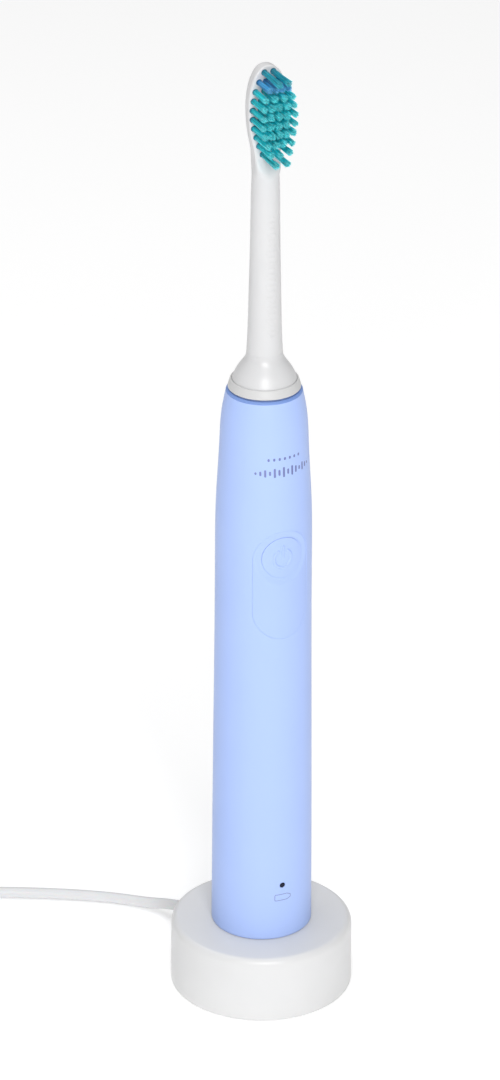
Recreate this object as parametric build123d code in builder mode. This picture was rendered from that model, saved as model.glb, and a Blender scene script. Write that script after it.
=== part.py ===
from build123d import *
import math
import os

os.makedirs("parts", exist_ok=True)

# An electric toothbrush that stands on its inductive charger, in millimetres.
# The origin is the centre of the charger's underside and +Z is up. The button and the
# bristles face -Y, and the mains cord leaves the charger at the back, near +Y.

# ---------------------------------------------------------------- driving dimensions
charger_radius = 25.0
charger_height = 19.0
charger_wall = 2.0
post_radius = 4.2           # the post that holds the brush up and carries the primary core
post_top = 27.0
base_thickness = 1.6

seat_gap = 0.05             # between the charger's top and the handle's underside
handle_bottom = charger_height + seat_gap
handle_top = 179.35
handle_wall = 1.55
# The handle's side, as radius and height: nearly straight to the button, then drawn in.
handle_side = [
    (13.75, handle_bottom), (13.54, 55.0), (13.19, 92.0), (12.95, 129.0),
    (12.72, 147.0), (11.83, 164.0), (11.25, 173.0), (10.15, 178.9),
]
socket_radius = 4.6         # the pocket in the handle's underside that drops over the post
socket_top = 28.5

panel_width = 15.8          # the soft panel round the button
panel_low = 111.1
panel_high = 142.8
panel_thickness = 1.0
button_radius = 5.85
button_height = panel_high - panel_width / 2
button_travel = 0.45
lens_radius = 0.75
lens_height = 35.6

battery_radius = 7.0        # a 14500 lithium cell
battery_low = 33.8
battery_high = 83.0
battery_back = 3.2          # how far the cell sits behind the handle's axis
board_front = -8.9          # the main board's two faces, as Y
board_back = -7.9
board_width = 11.0

frame_outer = 7.2           # the drive unit's tube
frame_inner = 6.2
frame_low = 87.0
frame_high = 166.0
shaft_radius = 1.6
shaft_low = 94.0
shaft_high = 200.0
shaft_flat = 1.1            # the flat that the brush head's clip bears on, as Y
running_gap = 0.06          # radial clearance of the shaft in its bushes and in the head

neck_bottom = 180.2
head_top = 270.4
plate_front = -1.6          # the flat face that the tufts stand on, as Y
plate_back = 2.2
tuft_radius = 0.75
tuft_hole_radius = 0.8
tuft_hole_depth = 2.2

cord_diameter = 3.1
cord_radius = cord_diameter / 2
cord_angle = 13.4           # the cord leaves the charger this far round from +Y towards -X
cord_height = 5.0
relief_inside = 9.0         # the strain relief's length inside the wall and outside it
relief_outside = 11.0
coil_mid_radius = 6 * cord_diameter
coil_turns_wide = 4
coil_layers = 2
coil_centre = (-87.8, 57.4)

pin_radius = 2.0            # the two-pin mains plug
pin_core_radius = 1.25      # the pin inside its sleeve
sleeve_radius = 1.8
pin_spacing = 18.6
pin_length = 19.0
sleeve_length = 10.0
plug_width = 35.0
plug_thickness = 13.8
plug_length = 24.0
plug_grip = 34.0            # from the plug's face to the end of its own cord grip


# ---------------------------------------------------------------- shapes used more than once
def ring_between(outer, inner, low, high):
    """A plain ring about Z."""
    with BuildPart() as ring:
        with BuildSketch(Plane.XY.offset(low)):
            Circle(outer)
            if inner:
                Circle(inner, mode=Mode.SUBTRACT)
        extrude(amount=high - low)
    return ring


def handle_form(inset):
    """The handle's outer form, drawn in by inset at its side and its top."""
    with BuildPart() as form:
        with BuildSketch(Plane.XZ):
            with BuildLine():
                side = Spline(*[(radius - inset, height) for radius, height in handle_side])
                shoulder = side @ 1
                Polyline(
                    shoulder,
                    (shoulder.X - 0.45, handle_top - inset),
                    (0, handle_top - inset),
                    (0, handle_bottom),
                    side @ 0,
                )
            make_face()
        revolve(axis=Axis.Z)
    return form


def front_slot(grow, deep):
    """The soft panel's stadium, let into the handle's front and grown by grow at its edge."""
    with BuildPart() as slot:
        with BuildSketch(Plane.XZ.offset(5)):
            with Locations((0, (panel_low + panel_high) / 2)):
                SlotOverall(panel_high - panel_low + 2 * grow, panel_width + 2 * grow, rotation=90)
        extrude(amount=12)
        add(handle_form(0).part, mode=Mode.INTERSECT)
        add(handle_form(deep).part, mode=Mode.SUBTRACT)
    return slot


def front_disc(radius, shallow, deep):
    """A round piece in the handle's front at the button, between two depths under its skin."""
    with BuildPart() as disc:
        with BuildSketch(Plane.XZ.offset(5)):
            with Locations((0, button_height)):
                Circle(radius)
        extrude(amount=12)
        add(handle_form(shallow).part, mode=Mode.INTERSECT)
        add(handle_form(deep).part, mode=Mode.SUBTRACT)
    return disc


# ---------------------------------------------------------------- charger
cord_way = Vector(-math.sin(math.radians(cord_angle)), math.cos(math.radians(cord_angle)), 0)
cord_exit = cord_way * charger_radius + Vector(0, 0, cord_height)
exit_plane = Plane(origin=cord_exit, x_dir=(0, 0, 1), z_dir=cord_way)

with BuildPart() as charger_cover:
    with BuildSketch(Plane.XZ):
        with BuildLine():
            Polyline(
                (charger_radius, 0),
                (charger_radius - 0.15, charger_height),
                (post_radius, charger_height),
                (post_radius, post_top),
                (0, post_top),
                (0, post_top - 1.6),
                (post_radius - 1.3, post_top - 1.6),
                (post_radius - 1.3, charger_height - charger_wall),
                (charger_radius - charger_wall - 0.15, charger_height - charger_wall),
                (charger_radius - charger_wall, 0),
                (charger_radius, 0),
            )
        make_face()
    revolve(axis=Axis.Z)
    outer_rim = charger_cover.edges().filter_by(GeomType.CIRCLE).filter_by_position(
        Axis.Z, charger_height - 0.01, charger_height + 0.01).sort_by(SortBy.RADIUS)[-1]
    fillet(outer_rim, 1.9)
    post_rim = charger_cover.edges().filter_by(GeomType.CIRCLE).filter_by_position(
        Axis.Z, post_top - 0.01, post_top + 0.01)
    fillet(post_rim, 1.2)
    with BuildSketch(exit_plane.offset(-4)):
        Circle(2.7)
    extrude(amount=6, mode=Mode.SUBTRACT)

with BuildPart() as charger_base:
    with BuildSketch():
        Circle(charger_radius - charger_wall - 0.1)
    extrude(amount=base_thickness)
    with BuildSketch(Plane.XY.offset(base_thickness)):
        with Locations((15.5, 3.0), (-15.5, 3.0), (9.5, 14.5)):
            Circle(1.5)
    extrude(amount=7.7)

charger_ferrite = ring_between(2.5, 0, base_thickness + 0.1, post_top - 2.2)

with BuildPart() as charger_bobbin:
    with BuildSketch(Plane.XZ):
        with BuildLine():
            Polyline(
                (2.6, 1.7), (10.0, 1.7), (10.0, 2.7), (3.6, 2.7), (3.6, 15.7),
                (10.0, 15.7), (10.0, 16.7), (2.6, 16.7), (2.6, 1.7),
            )
        make_face()
    revolve(axis=Axis.Z)

charger_coil = ring_between(9.2, 3.65, 2.75, 15.65)

board_low = 9.35            # the charger's board lies on the base's three posts
with BuildPart() as charger_board:
    with BuildSketch(Plane.XY.offset(board_low)):
        Circle(21.8)
        Circle(10.8, mode=Mode.SUBTRACT)
        with Locations((0, -22)):
            Rectangle(60, 34, mode=Mode.SUBTRACT)
    extrude(amount=1.2)

with BuildPart() as charger_components:
    top_side = Plane.XY.offset(board_low + 1.2)
    with BuildSketch(top_side):
        with Locations((-14.5, 6.0), (12.5, 11.0)):
            Circle(2.6)
    extrude(amount=5.0)
    with BuildSketch(top_side):
        with Locations((0, 16.5)):
            Rectangle(8, 6)
    extrude(amount=4.2)
    with BuildSketch(top_side):
        with Locations((-8.5, 12.5), (17.0, 3.5), (7.0, 17.5)):
            Rectangle(3.0, 2.4)
    extrude(amount=1.6)

with BuildPart() as strain_relief:
    with BuildSketch(Plane(origin=cord_exit, x_dir=cord_way, z_dir=(cord_way.Y, -cord_way.X, 0))):
        with BuildLine():
            Polyline(
                (-relief_inside, 0), (-relief_inside, 2.3), (-4.4, 2.3), (-4.4, 3.3),
                (-2.5, 3.3), (-2.5, 2.6), (0.05, 2.6), (0.05, 3.3), (1.8, 3.3),
                (relief_outside, 2.15), (relief_outside, 0), (-relief_inside, 0),
            )
        make_face()
    revolve(axis=Axis(cord_exit, cord_way))

with BuildPart() as charger_leads:
    lead_foot = Plane.XY.offset(cord_height - 0.6)
    with BuildSketch(lead_foot):
        lead_place = cord_way * (charger_radius - relief_inside - 0.9)
        with Locations((lead_place.X - 1.2, lead_place.Y), (lead_place.X + 1.2, lead_place.Y)):
            Circle(0.6)
    extrude(amount=board_low - cord_height + 0.5)

# ---------------------------------------------------------------- cord and plug
relief_tip = cord_way * (charger_radius + relief_outside) + Vector(0, 0, cord_height)
# The free cord's route from the strain relief to where it runs into its coil, on the surface.
cord_route = [
    (relief_tip.X, relief_tip.Y, relief_tip.Z),
    (-9.9, 40.3, 3.4),
    (-14.0, 45.8, 1.8),
    (-22.9, 53.9, 1.55),
    (-38.7, 63.4, 1.55),
    (-56.2, 71.8, 1.55),
    (-73.8, 76.5, 1.55),
]
# The tail's route from the coil's upper layer down to the plug's grip.
tail_route = [
    (-110.3, 50.0, 4.8),
    (-110.3, 42.2, 5.6),
    (-109.7, 34.2, 6.9),
]


def bend_radii(route):
    """Each corner's largest arc: 0.45 of the shorter run over the tangent of half the turn."""
    radii = []
    for before, corner, after in zip(route, route[1:], route[2:]):
        run_in = Vector(*corner) - Vector(*before)
        run_out = Vector(*after) - Vector(*corner)
        turn = math.radians(run_in.get_angle(run_out))
        radii.append(0.45 * min(run_in.length, run_out.length) / math.tan(turn / 2))
    return radii


cord_radii = bend_radii(cord_route)
tail_radii = bend_radii(tail_route)
print("cord radii", [round(radius, 1) for radius in cord_radii])
print("tail radii", [round(radius, 1) for radius in tail_radii])

with BuildPart() as cord:
    with BuildLine() as cord_line:
        FilletPolyline(*cord_route, radius=cord_radii)
    with BuildSketch(Plane(origin=cord_line.wire() @ 0, z_dir=cord_line.wire() % 0)):
        Circle(cord_radius)
    sweep()
cord_length = cord_line.wire().length
print("cord tube", round(cord_length, 1), "long, its volume over section times length",
      round(cord.part.volume / (math.pi * cord_radius**2 * cord_length), 4))

with BuildPart() as cord_tail:
    with BuildLine() as tail_line:
        FilletPolyline(*tail_route, radius=tail_radii)
    with BuildSketch(Plane(origin=tail_line.wire() @ 0, z_dir=tail_line.wire() % 0)):
        Circle(cord_radius)
    sweep()

half_wide = coil_turns_wide * cord_radius
with BuildPart() as cord_coil:
    with BuildSketch():
        with Locations(coil_centre):
            Circle(coil_mid_radius + half_wide)
            Circle(coil_mid_radius - half_wide, mode=Mode.SUBTRACT)
    extrude(amount=coil_layers * cord_diameter)
    fillet(cord_coil.edges().filter_by(GeomType.CIRCLE), 1.2)

# The plug lies flat on the surface, its pins pointing away from the coil.
tail_end = Vector(*tail_route[-1])
plug_way = Vector(tail_route[-1][0] - tail_route[-2][0], tail_route[-1][1] - tail_route[-2][1], 0)
plug_way = plug_way.normalized()
plug_face = tail_end + plug_way * plug_grip
plug_plane = Plane(origin=plug_face, x_dir=(plug_way.Y, -plug_way.X, 0), z_dir=plug_way)

with BuildPart() as plug_body:
    with BuildSketch(plug_plane):
        RectangleRounded(plug_width, plug_thickness, 6.8)
    with BuildSketch(plug_plane.offset(-10)):
        RectangleRounded(plug_width - 3, plug_thickness - 0.6, 6.3)
    with BuildSketch(plug_plane.offset(-plug_length)):
        RectangleRounded(11.0, 9.0, 4.4)
    loft(ruled=False)
    with BuildSketch(plug_plane.offset(-plug_length)):
        Circle(3.6)
    extrude(amount=plug_length - plug_grip, taper=-5)

with BuildPart() as plug_pins:
    with BuildSketch(plug_plane.offset(0.05)):
        with GridLocations(pin_spacing, 1, 2, 1):
            Circle(pin_core_radius)
    extrude(amount=sleeve_length)
    with BuildSketch(plug_plane.offset(0.05 + sleeve_length)):
        with GridLocations(pin_spacing, 1, 2, 1):
            Circle(pin_radius)
    extrude(amount=pin_length - sleeve_length)
    tip_edges = plug_pins.faces().group_by(Axis(plug_face, plug_way))[-1].edges()
    fillet(tip_edges, 1.4)

with BuildPart() as plug_sleeves:
    with BuildSketch(plug_plane.offset(0.05)):
        with GridLocations(pin_spacing, 1, 2, 1):
            Circle(sleeve_radius)
            Circle(pin_core_radius + 0.05, mode=Mode.SUBTRACT)
    extrude(amount=sleeve_length - 0.1)

# ---------------------------------------------------------------- handle
with BuildPart() as handle_housing:
    add(handle_form(0).part)
    add(handle_form(handle_wall).part, mode=Mode.SUBTRACT)
    with BuildSketch(Plane.XY.offset(handle_top - 3)):
        Circle(7.0)
    extrude(amount=5, mode=Mode.SUBTRACT)
    add(front_slot(0.06, panel_thickness + 0.06).part, mode=Mode.SUBTRACT)
    add(front_disc(6.3, 0, handle_wall + 1).part, mode=Mode.SUBTRACT)
    with BuildSketch(Plane.XZ.offset(5)):
        with Locations((0, lens_height)):
            Circle(lens_radius + 0.05)
    extrude(amount=12, mode=Mode.SUBTRACT)

with BuildPart() as button_panel:
    add(front_slot(0, panel_thickness).part)
    add(front_disc(button_radius + 0.12, 0, panel_thickness + 1).part, mode=Mode.SUBTRACT)

with BuildPart() as button_seal:
    add(front_disc(7.6, handle_wall + 0.05, handle_wall + 0.65).part)
    with BuildSketch(Plane.XZ.offset(5)):
        with Locations((0, button_height)):
            Circle(2.0)
    extrude(amount=12, mode=Mode.SUBTRACT)

with BuildPart() as indicator_lens:
    with BuildSketch(Plane.XZ.offset(10)):
        with Locations((0, lens_height)):
            Circle(lens_radius)
    extrude(amount=6)
    add(handle_form(0).part, mode=Mode.INTERSECT)

with BuildPart() as bottom_cap:
    with BuildSketch(Plane.XZ):
        with BuildLine():
            Polyline(
                (12.0, handle_bottom), (12.0, 21.05), (11.5, 21.05), (11.5, 22.3), (10.6, 22.3),
                (10.6, 23.8), (11.5, 23.8), (11.5, 25.0), (10.0, 25.0), (10.0, 21.05),
                (socket_radius + 1.0, 21.05), (socket_radius + 1.0, socket_top + 1.0),
                (0, socket_top + 1.0), (0, socket_top), (socket_radius, socket_top),
                (socket_radius, handle_bottom), (12.0, handle_bottom),
            )
        make_face()
    revolve(axis=Axis.Z)

with BuildPart() as bottom_seal:
    with BuildSketch(Plane.XZ):
        with Locations((11.32, 23.05)):
            Circle(0.68)
    revolve(axis=Axis.Z)

with BuildPart() as receiver_bobbin:
    with BuildSketch(Plane.XZ):
        with BuildLine():
            Polyline(
                (5.65, 21.15), (9.8, 21.15), (9.8, 22.0), (6.4, 22.0), (6.4, 28.6),
                (9.8, 28.6), (9.8, 29.4), (5.65, 29.4), (5.65, 21.15),
            )
        make_face()
    revolve(axis=Axis.Z)

receiver_coil = ring_between(9.3, 6.45, 22.05, 28.55)

with BuildPart() as chassis:
    with BuildSketch(Plane.XY.offset(31.6)):
        Circle(11.2)
        Circle(10.5, mode=Mode.SUBTRACT)
        with Locations((0, -15)):
            Rectangle(40, 30, mode=Mode.SUBTRACT)
    extrude(amount=54.8)
    for plate_low in (31.6, 85.2):
        with BuildSketch(Plane.XY.offset(plate_low)):
            Circle(11.2)
            with Locations((0, board_back - 9.7)):
                Rectangle(40, 20, mode=Mode.SUBTRACT)
        extrude(amount=1.2)

with BuildPart() as battery_cell:
    with BuildSketch(Plane.XY.offset(battery_low)):
        with Locations((0, battery_back)):
            Circle(battery_radius)
    extrude(amount=battery_high - battery_low)
    fillet(battery_cell.edges().filter_by(GeomType.CIRCLE), 0.5)
    with BuildSketch(Plane.XY.offset(battery_high)):
        with Locations((0, battery_back)):
            Circle(2.75)
    extrude(amount=0.9)

with BuildPart() as battery_tabs:
    for tab_low in (battery_low - 0.35, battery_high + 0.95):
        with BuildSketch(Plane.XY.offset(tab_low)):
            with Locations((0, 1.0)):
                Rectangle(5, 12)
        extrude(amount=0.3)

board_plane = Plane.XZ.offset(-board_back)
with BuildPart() as main_board:
    with BuildSketch(board_plane):
        with Locations((0, 87.0)):
            RectangleRounded(board_width, 108.0, 1.0)
    extrude(amount=board_back - board_front)

with BuildPart() as board_components:
    back_side = Plane.XZ.offset(-board_back)
    with BuildSketch(back_side):
        with Locations((0, 56), (2.6, 70)):
            Rectangle(5, 5)
        with Locations((-3.0, 66)):
            Rectangle(4, 4)
        with Locations((-3.2, 44), (3.4, 48), (3.4, 62), (-3.4, 76)):
            Rectangle(3.2, 1.8)
    extrude(amount=-1.1)
    with BuildSketch(back_side):
        with Locations((0, 80)):
            Rectangle(6, 4)
    extrude(amount=-2.4)

switch_front = board_front - 1.5
with BuildPart() as tact_switch:
    with BuildSketch(Plane.XZ.offset(-board_front)):
        with Locations((0, button_height)):
            Rectangle(5, 5)
    extrude(amount=1.5)
    with BuildSketch(Plane.XZ.offset(-switch_front)):
        with Locations((0, button_height)):
            Circle(1.48)
    extrude(amount=-1.05, mode=Mode.SUBTRACT)

with BuildPart() as charge_led:
    with BuildSketch(Plane.XZ.offset(-board_front)):
        with Locations((0, lens_height)):
            Rectangle(1.6, 1.2)
    extrude(amount=0.8)

# ---------------------------------------------------------------- power button
stem_end = -10.97
with BuildPart() as power_button:
    add(front_disc(button_radius, 0, panel_thickness).part)
    with BuildSketch(Plane.XZ.offset(-stem_end)):
        with Locations((0, button_height)):
            Circle(1.9)
    extrude(amount=1.2)

with BuildPart() as switch_plunger:
    with BuildSketch(Plane.XZ.offset(-stem_end)):
        with Locations((0, button_height)):
            Circle(1.42)
    extrude(amount=-1.0)

# ---------------------------------------------------------------- drive unit
spring_width = 2.4
spring_thickness = 0.5
with BuildPart() as drive_frame:
    with BuildSketch(Plane.XZ):
        with BuildLine():
            Polyline(
                (frame_outer, frame_low), (frame_outer, frame_high), (frame_inner, frame_high),
                (frame_inner, 156.0), (3.25, 156.0), (3.25, 150.0), (frame_inner, 150.0),
                (frame_inner, 101.6), (3.05, 101.6), (3.05, 97.4), (frame_inner, 97.4),
                (frame_inner, 91.0), (0, 91.0), (0, frame_low), (frame_outer, frame_low),
            )
        make_face()
    revolve(axis=Axis.Z)
    with BuildSketch(Plane.XY.offset(88.0)):
        Rectangle(spring_width + 0.1, spring_thickness + 0.1)
    extrude(amount=4, mode=Mode.SUBTRACT)

with BuildPart() as torsion_spring:
    with BuildSketch(Plane.XY.offset(88.05)):
        Rectangle(spring_width, spring_thickness)
    extrude(amount=8.9)

with BuildPart() as stator_core:
    with BuildSketch(Plane.XY.offset(104)):
        Circle(6.1)
        Circle(5.2, mode=Mode.SUBTRACT)
        with PolarLocations(4.5, 4):
            Rectangle(1.8, 1.6)
    extrude(amount=30)

with BuildPart() as stator_coils:
    with BuildSketch(Plane.XY.offset(103)):
        Circle(5.1)
        Circle(3.75, mode=Mode.SUBTRACT)
        with PolarLocations(4.5, 4):
            Rectangle(4.0, 1.8, mode=Mode.SUBTRACT)
    extrude(amount=32)

lower_bearing = ring_between(3.0, shaft_radius + running_gap, 97.5, 101.5)
upper_bearing = ring_between(3.2, shaft_radius + running_gap, 150.1, 155.9)
rotor_hub = ring_between(2.4, shaft_radius + 0.02, 104.5, 133.5)

with BuildPart() as rotor_magnets:
    with BuildSketch(Plane.XY.offset(105)):
        Circle(3.3)
        Circle(2.45, mode=Mode.SUBTRACT)
        with PolarLocations(3.0, 4, start_angle=45):
            Rectangle(3.0, 0.5, mode=Mode.SUBTRACT)
    extrude(amount=28)

with BuildPart() as drive_shaft:
    with BuildSketch(Plane.XY.offset(shaft_low)):
        Circle(shaft_radius)
    extrude(amount=shaft_high - shaft_low)
    chamfer(drive_shaft.faces().sort_by(Axis.Z)[-1].edges(), 0.4)
    with BuildSketch(Plane.XY.offset(181)):
        with Locations((0, shaft_flat + 1)):
            Rectangle(4, 2)
    extrude(amount=20, mode=Mode.SUBTRACT)
    with BuildSketch(Plane.XY.offset(shaft_low)):
        Rectangle(4, spring_thickness + 0.1)
    extrude(amount=3.1, mode=Mode.SUBTRACT)

with BuildPart() as drive_mounts:
    for mount_low, mount_outer in ((94.0, 11.3), (159.0, 10.1)):
        with BuildSketch(Plane.XY.offset(mount_low)):
            Circle(mount_outer)
            Circle(frame_outer + 0.05, mode=Mode.SUBTRACT)
            if mount_low < 141:
                with Locations((0, board_back - 9.7)):
                    Rectangle(40, 20, mode=Mode.SUBTRACT)
        extrude(amount=3)

with BuildPart() as shaft_seal:
    with BuildSketch(Plane.XZ):
        with BuildLine():
            Polyline(
                (1.68, 171.4), (1.68, 172.0), (5.6, 175.8), (6.4, 175.8), (6.4, 174.4),
                (5.2, 174.4), (2.4, 171.4), (1.68, 171.4),
            )
        make_face()
    revolve(axis=Axis.Z)

with BuildPart() as nose_cap:
    with BuildSketch(Plane.XZ):
        with BuildLine():
            Polyline(
                (2.1, 175.9), (8.2, 175.9), (8.2, 177.6), (6.9, 177.6), (6.9, handle_top + 0.1),
                (3.0, handle_top + 0.1), (2.1, handle_top - 0.5), (2.1, 175.9),
            )
        make_face()
    revolve(axis=Axis.Z)

# ---------------------------------------------------------------- brush head
with BuildPart() as brush_ring:
    with BuildSketch(Plane.XZ):
        with BuildLine():
            Polyline(
                (9.75, 179.85), (9.65, 180.3), (9.1, 182.0), (8.95, 182.25), (8.65, 182.25),
                (8.65, 181.8), (5.3, 181.8), (5.3, 180.8), (8.4, 180.8), (8.4, 179.85),
                (9.75, 179.85),
            )
        make_face()
    revolve(axis=Axis.Z)

with BuildPart() as brush_collar:
    with BuildSketch(Plane.XZ):
        with BuildLine():
            dome = Spline((8.6, 182.3), (8.1, 183.55), (7.4, 184.9), (6.29, 186.5), (5.0, 188.7))
            Polyline(dome @ 1, (4.95, 188.7), (4.95, 181.85), (8.6, 181.85), dome @ 0)
        make_face()
    revolve(axis=Axis.Z)

plate_outline = [(0, head_top), (4.1, 267.1), (5.5, 258.9), (4.85, 251.5), (3.6, 246.0)]
tuft_rows = [
    # half width of the row, tufts across it, tuft length; from the tip down
    (1.25, 2, 10.5), (2.7, 4, 7.5), (3.7, 4, 7.5), (4.2, 5, 7.5), (4.45, 5, 7.6),
    (4.4, 5, 7.6), (4.05, 5, 7.6), (3.4, 4, 8.0), (2.6, 3, 8.6), (1.6, 2, 9.4),
]
tuft_pitch = 2.5
first_row = 268.7


def row_spots(row):
    """The tufts' places across one row, as X and Z."""
    half, count, _ = tuft_rows[row]
    return [(half * (2 * i / (count - 1) - 1), first_row - tuft_pitch * row) for i in range(count)]


every_spot = [spot for row in range(len(tuft_rows)) for spot in row_spots(row)]

with BuildPart() as brush_neck:
    with BuildSketch(Plane.XZ):
        with BuildLine():
            taper_side = Spline(
                (4.85, 188.8), (4.64, 193.0), (4.3, 205.0), (3.89, 225.0), (3.68, 240.0),
                (3.45, 245.0), (2.2, 250.5),
            )
            Polyline(
                taper_side @ 1, (0, 252.0), (0, 203.0), (3.0, 203.0), (3.0, neck_bottom),
                (4.85, neck_bottom), (4.85, 188.8),
            )
        make_face()
    revolve(axis=Axis.Z)
    with BuildSketch(Plane.XZ.offset(-plate_back)):
        with BuildLine():
            half_plate = Spline(*plate_outline, tangents=[(1, 0), (-0.15, -1)])
            Polyline(half_plate @ 1, (3.3, 242.0), (0, 242.0), (0, head_top))
        make_face()
        mirror(about=Plane.YZ)
    extrude(amount=plate_back - plate_front)
    with BuildSketch(Plane.YZ.offset(-10)):
        with BuildLine():
            Polyline(
                (plate_front, 275), (plate_front, 244.6), (-4.6, 239.6), (-12, 239.6),
                (-12, 275), (plate_front, 275),
            )
        make_face()
    extrude(amount=20, mode=Mode.SUBTRACT)
    with BuildSketch(Plane.XZ.offset(-plate_front)):
        with Locations(*every_spot):
            Circle(tuft_hole_radius)
    extrude(amount=-tuft_hole_depth, mode=Mode.SUBTRACT)

with BuildPart() as brush_insert:
    with BuildSketch(Plane.XY.offset(181.2)):
        Circle(2.95)
        Circle(shaft_radius + running_gap, mode=Mode.SUBTRACT)
    extrude(amount=20.6)
    with BuildSketch(Plane.XY.offset(200.3)):
        Circle(2.95)
    extrude(amount=2.6)

with BuildPart() as clip_spring:
    with BuildSketch(Plane.XY.offset(184)):
        with Locations((0, 1.28)):
            Rectangle(1.4, 0.26)
    extrude(amount=13)


def tufts_of(rows, least=0.0, most=99.0):
    """The tufts of some rows whose distance from the middle lies between two limits."""
    with BuildPart() as tufts:
        for row in rows:
            spots = [spot for spot in row_spots(row) if least <= abs(spot[0]) <= most]
            if spots:
                with BuildSketch(Plane.XZ.offset(-plate_front - tuft_hole_depth + 0.4)):
                    with Locations(*spots):
                        Circle(tuft_radius)
                extrude(amount=tuft_hole_depth - 0.4 + tuft_rows[row][2])
    return tufts


middle_rows = range(2, 8)
tufts_tip = tufts_of([0])
tufts_blue = tufts_of([1])
tufts_side = tufts_of(middle_rows, least=3.0)
tufts_middle = tufts_of(middle_rows, most=3.0)
tufts_heel = tufts_of([8, 9])

with BuildPart() as tuft_anchors:
    with BuildSketch(Plane.XZ.offset(-plate_front - tuft_hole_depth + 0.02)):
        with Locations(*every_spot):
            Rectangle(1.3, 0.3)
    extrude(amount=0.36)

# ---------------------------------------------------------------- labels and files
charger_cover.part.label = "charger_cover"
export_step(charger_cover.part, "parts/charger_cover.step")

charger_base.part.label = "charger_base"
export_step(charger_base.part, "parts/charger_base.step")

charger_ferrite.part.label = "charger_ferrite"
export_step(charger_ferrite.part, "parts/charger_ferrite.step")

charger_bobbin.part.label = "charger_bobbin"
export_step(charger_bobbin.part, "parts/charger_bobbin.step")

charger_coil.part.label = "charger_coil"
export_step(charger_coil.part, "parts/charger_coil.step")

charger_board.part.label = "charger_board"
export_step(charger_board.part, "parts/charger_board.step")

charger_components.part.label = "charger_components"
export_step(charger_components.part, "parts/charger_components.step")

charger_leads.part.label = "charger_leads"
export_step(charger_leads.part, "parts/charger_leads.step")

strain_relief.part.label = "strain_relief"
export_step(strain_relief.part, "parts/strain_relief.step")

cord.part.label = "cord"
export_step(cord.part, "parts/cord.step")

cord_coil.part.label = "cord_coil"
export_step(cord_coil.part, "parts/cord_coil.step")

cord_tail.part.label = "cord_tail"
export_step(cord_tail.part, "parts/cord_tail.step")

plug_body.part.label = "plug_body"
export_step(plug_body.part, "parts/plug_body.step")

plug_sleeves.part.label = "plug_sleeves"
export_step(plug_sleeves.part, "parts/plug_sleeves.step")

plug_pins.part.label = "plug_pins"
export_step(plug_pins.part, "parts/plug_pins.step")

handle_housing.part.label = "handle_housing"
export_step(handle_housing.part, "parts/handle_housing.step")

button_panel.part.label = "button_panel"
export_step(button_panel.part, "parts/button_panel.step")

button_seal.part.label = "button_seal"
export_step(button_seal.part, "parts/button_seal.step")

indicator_lens.part.label = "indicator_lens"
export_step(indicator_lens.part, "parts/indicator_lens.step")

bottom_cap.part.label = "bottom_cap"
export_step(bottom_cap.part, "parts/bottom_cap.step")

bottom_seal.part.label = "bottom_seal"
export_step(bottom_seal.part, "parts/bottom_seal.step")

receiver_bobbin.part.label = "receiver_bobbin"
export_step(receiver_bobbin.part, "parts/receiver_bobbin.step")

receiver_coil.part.label = "receiver_coil"
export_step(receiver_coil.part, "parts/receiver_coil.step")

chassis.part.label = "chassis"
export_step(chassis.part, "parts/chassis.step")

battery_cell.part.label = "battery_cell"
export_step(battery_cell.part, "parts/battery_cell.step")

battery_tabs.part.label = "battery_tabs"
export_step(battery_tabs.part, "parts/battery_tabs.step")

main_board.part.label = "main_board"
export_step(main_board.part, "parts/main_board.step")

board_components.part.label = "board_components"
export_step(board_components.part, "parts/board_components.step")

tact_switch.part.label = "tact_switch"
export_step(tact_switch.part, "parts/tact_switch.step")

charge_led.part.label = "charge_led"
export_step(charge_led.part, "parts/charge_led.step")

power_button.part.label = "power_button"
export_step(power_button.part, "parts/power_button.step")

switch_plunger.part.label = "switch_plunger"
export_step(switch_plunger.part, "parts/switch_plunger.step")

drive_frame.part.label = "drive_frame"
export_step(drive_frame.part, "parts/drive_frame.step")

torsion_spring.part.label = "torsion_spring"
export_step(torsion_spring.part, "parts/torsion_spring.step")

stator_core.part.label = "stator_core"
export_step(stator_core.part, "parts/stator_core.step")

stator_coils.part.label = "stator_coils"
export_step(stator_coils.part, "parts/stator_coils.step")

lower_bearing.part.label = "lower_bearing"
export_step(lower_bearing.part, "parts/lower_bearing.step")

upper_bearing.part.label = "upper_bearing"
export_step(upper_bearing.part, "parts/upper_bearing.step")

rotor_hub.part.label = "rotor_hub"
export_step(rotor_hub.part, "parts/rotor_hub.step")

rotor_magnets.part.label = "rotor_magnets"
export_step(rotor_magnets.part, "parts/rotor_magnets.step")

drive_shaft.part.label = "drive_shaft"
export_step(drive_shaft.part, "parts/drive_shaft.step")

drive_mounts.part.label = "drive_mounts"
export_step(drive_mounts.part, "parts/drive_mounts.step")

shaft_seal.part.label = "shaft_seal"
export_step(shaft_seal.part, "parts/shaft_seal.step")

nose_cap.part.label = "nose_cap"
export_step(nose_cap.part, "parts/nose_cap.step")

brush_ring.part.label = "brush_ring"
export_step(brush_ring.part, "parts/brush_ring.step")

brush_collar.part.label = "brush_collar"
export_step(brush_collar.part, "parts/brush_collar.step")

brush_neck.part.label = "brush_neck"
export_step(brush_neck.part, "parts/brush_neck.step")

brush_insert.part.label = "brush_insert"
export_step(brush_insert.part, "parts/brush_insert.step")

clip_spring.part.label = "clip_spring"
export_step(clip_spring.part, "parts/clip_spring.step")

tufts_tip.part.label = "tufts_tip"
export_step(tufts_tip.part, "parts/tufts_tip.step")

tufts_blue.part.label = "tufts_blue"
export_step(tufts_blue.part, "parts/tufts_blue.step")

tufts_side.part.label = "tufts_side"
export_step(tufts_side.part, "parts/tufts_side.step")

tufts_middle.part.label = "tufts_middle"
export_step(tufts_middle.part, "parts/tufts_middle.step")

tufts_heel.part.label = "tufts_heel"
export_step(tufts_heel.part, "parts/tufts_heel.step")

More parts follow.
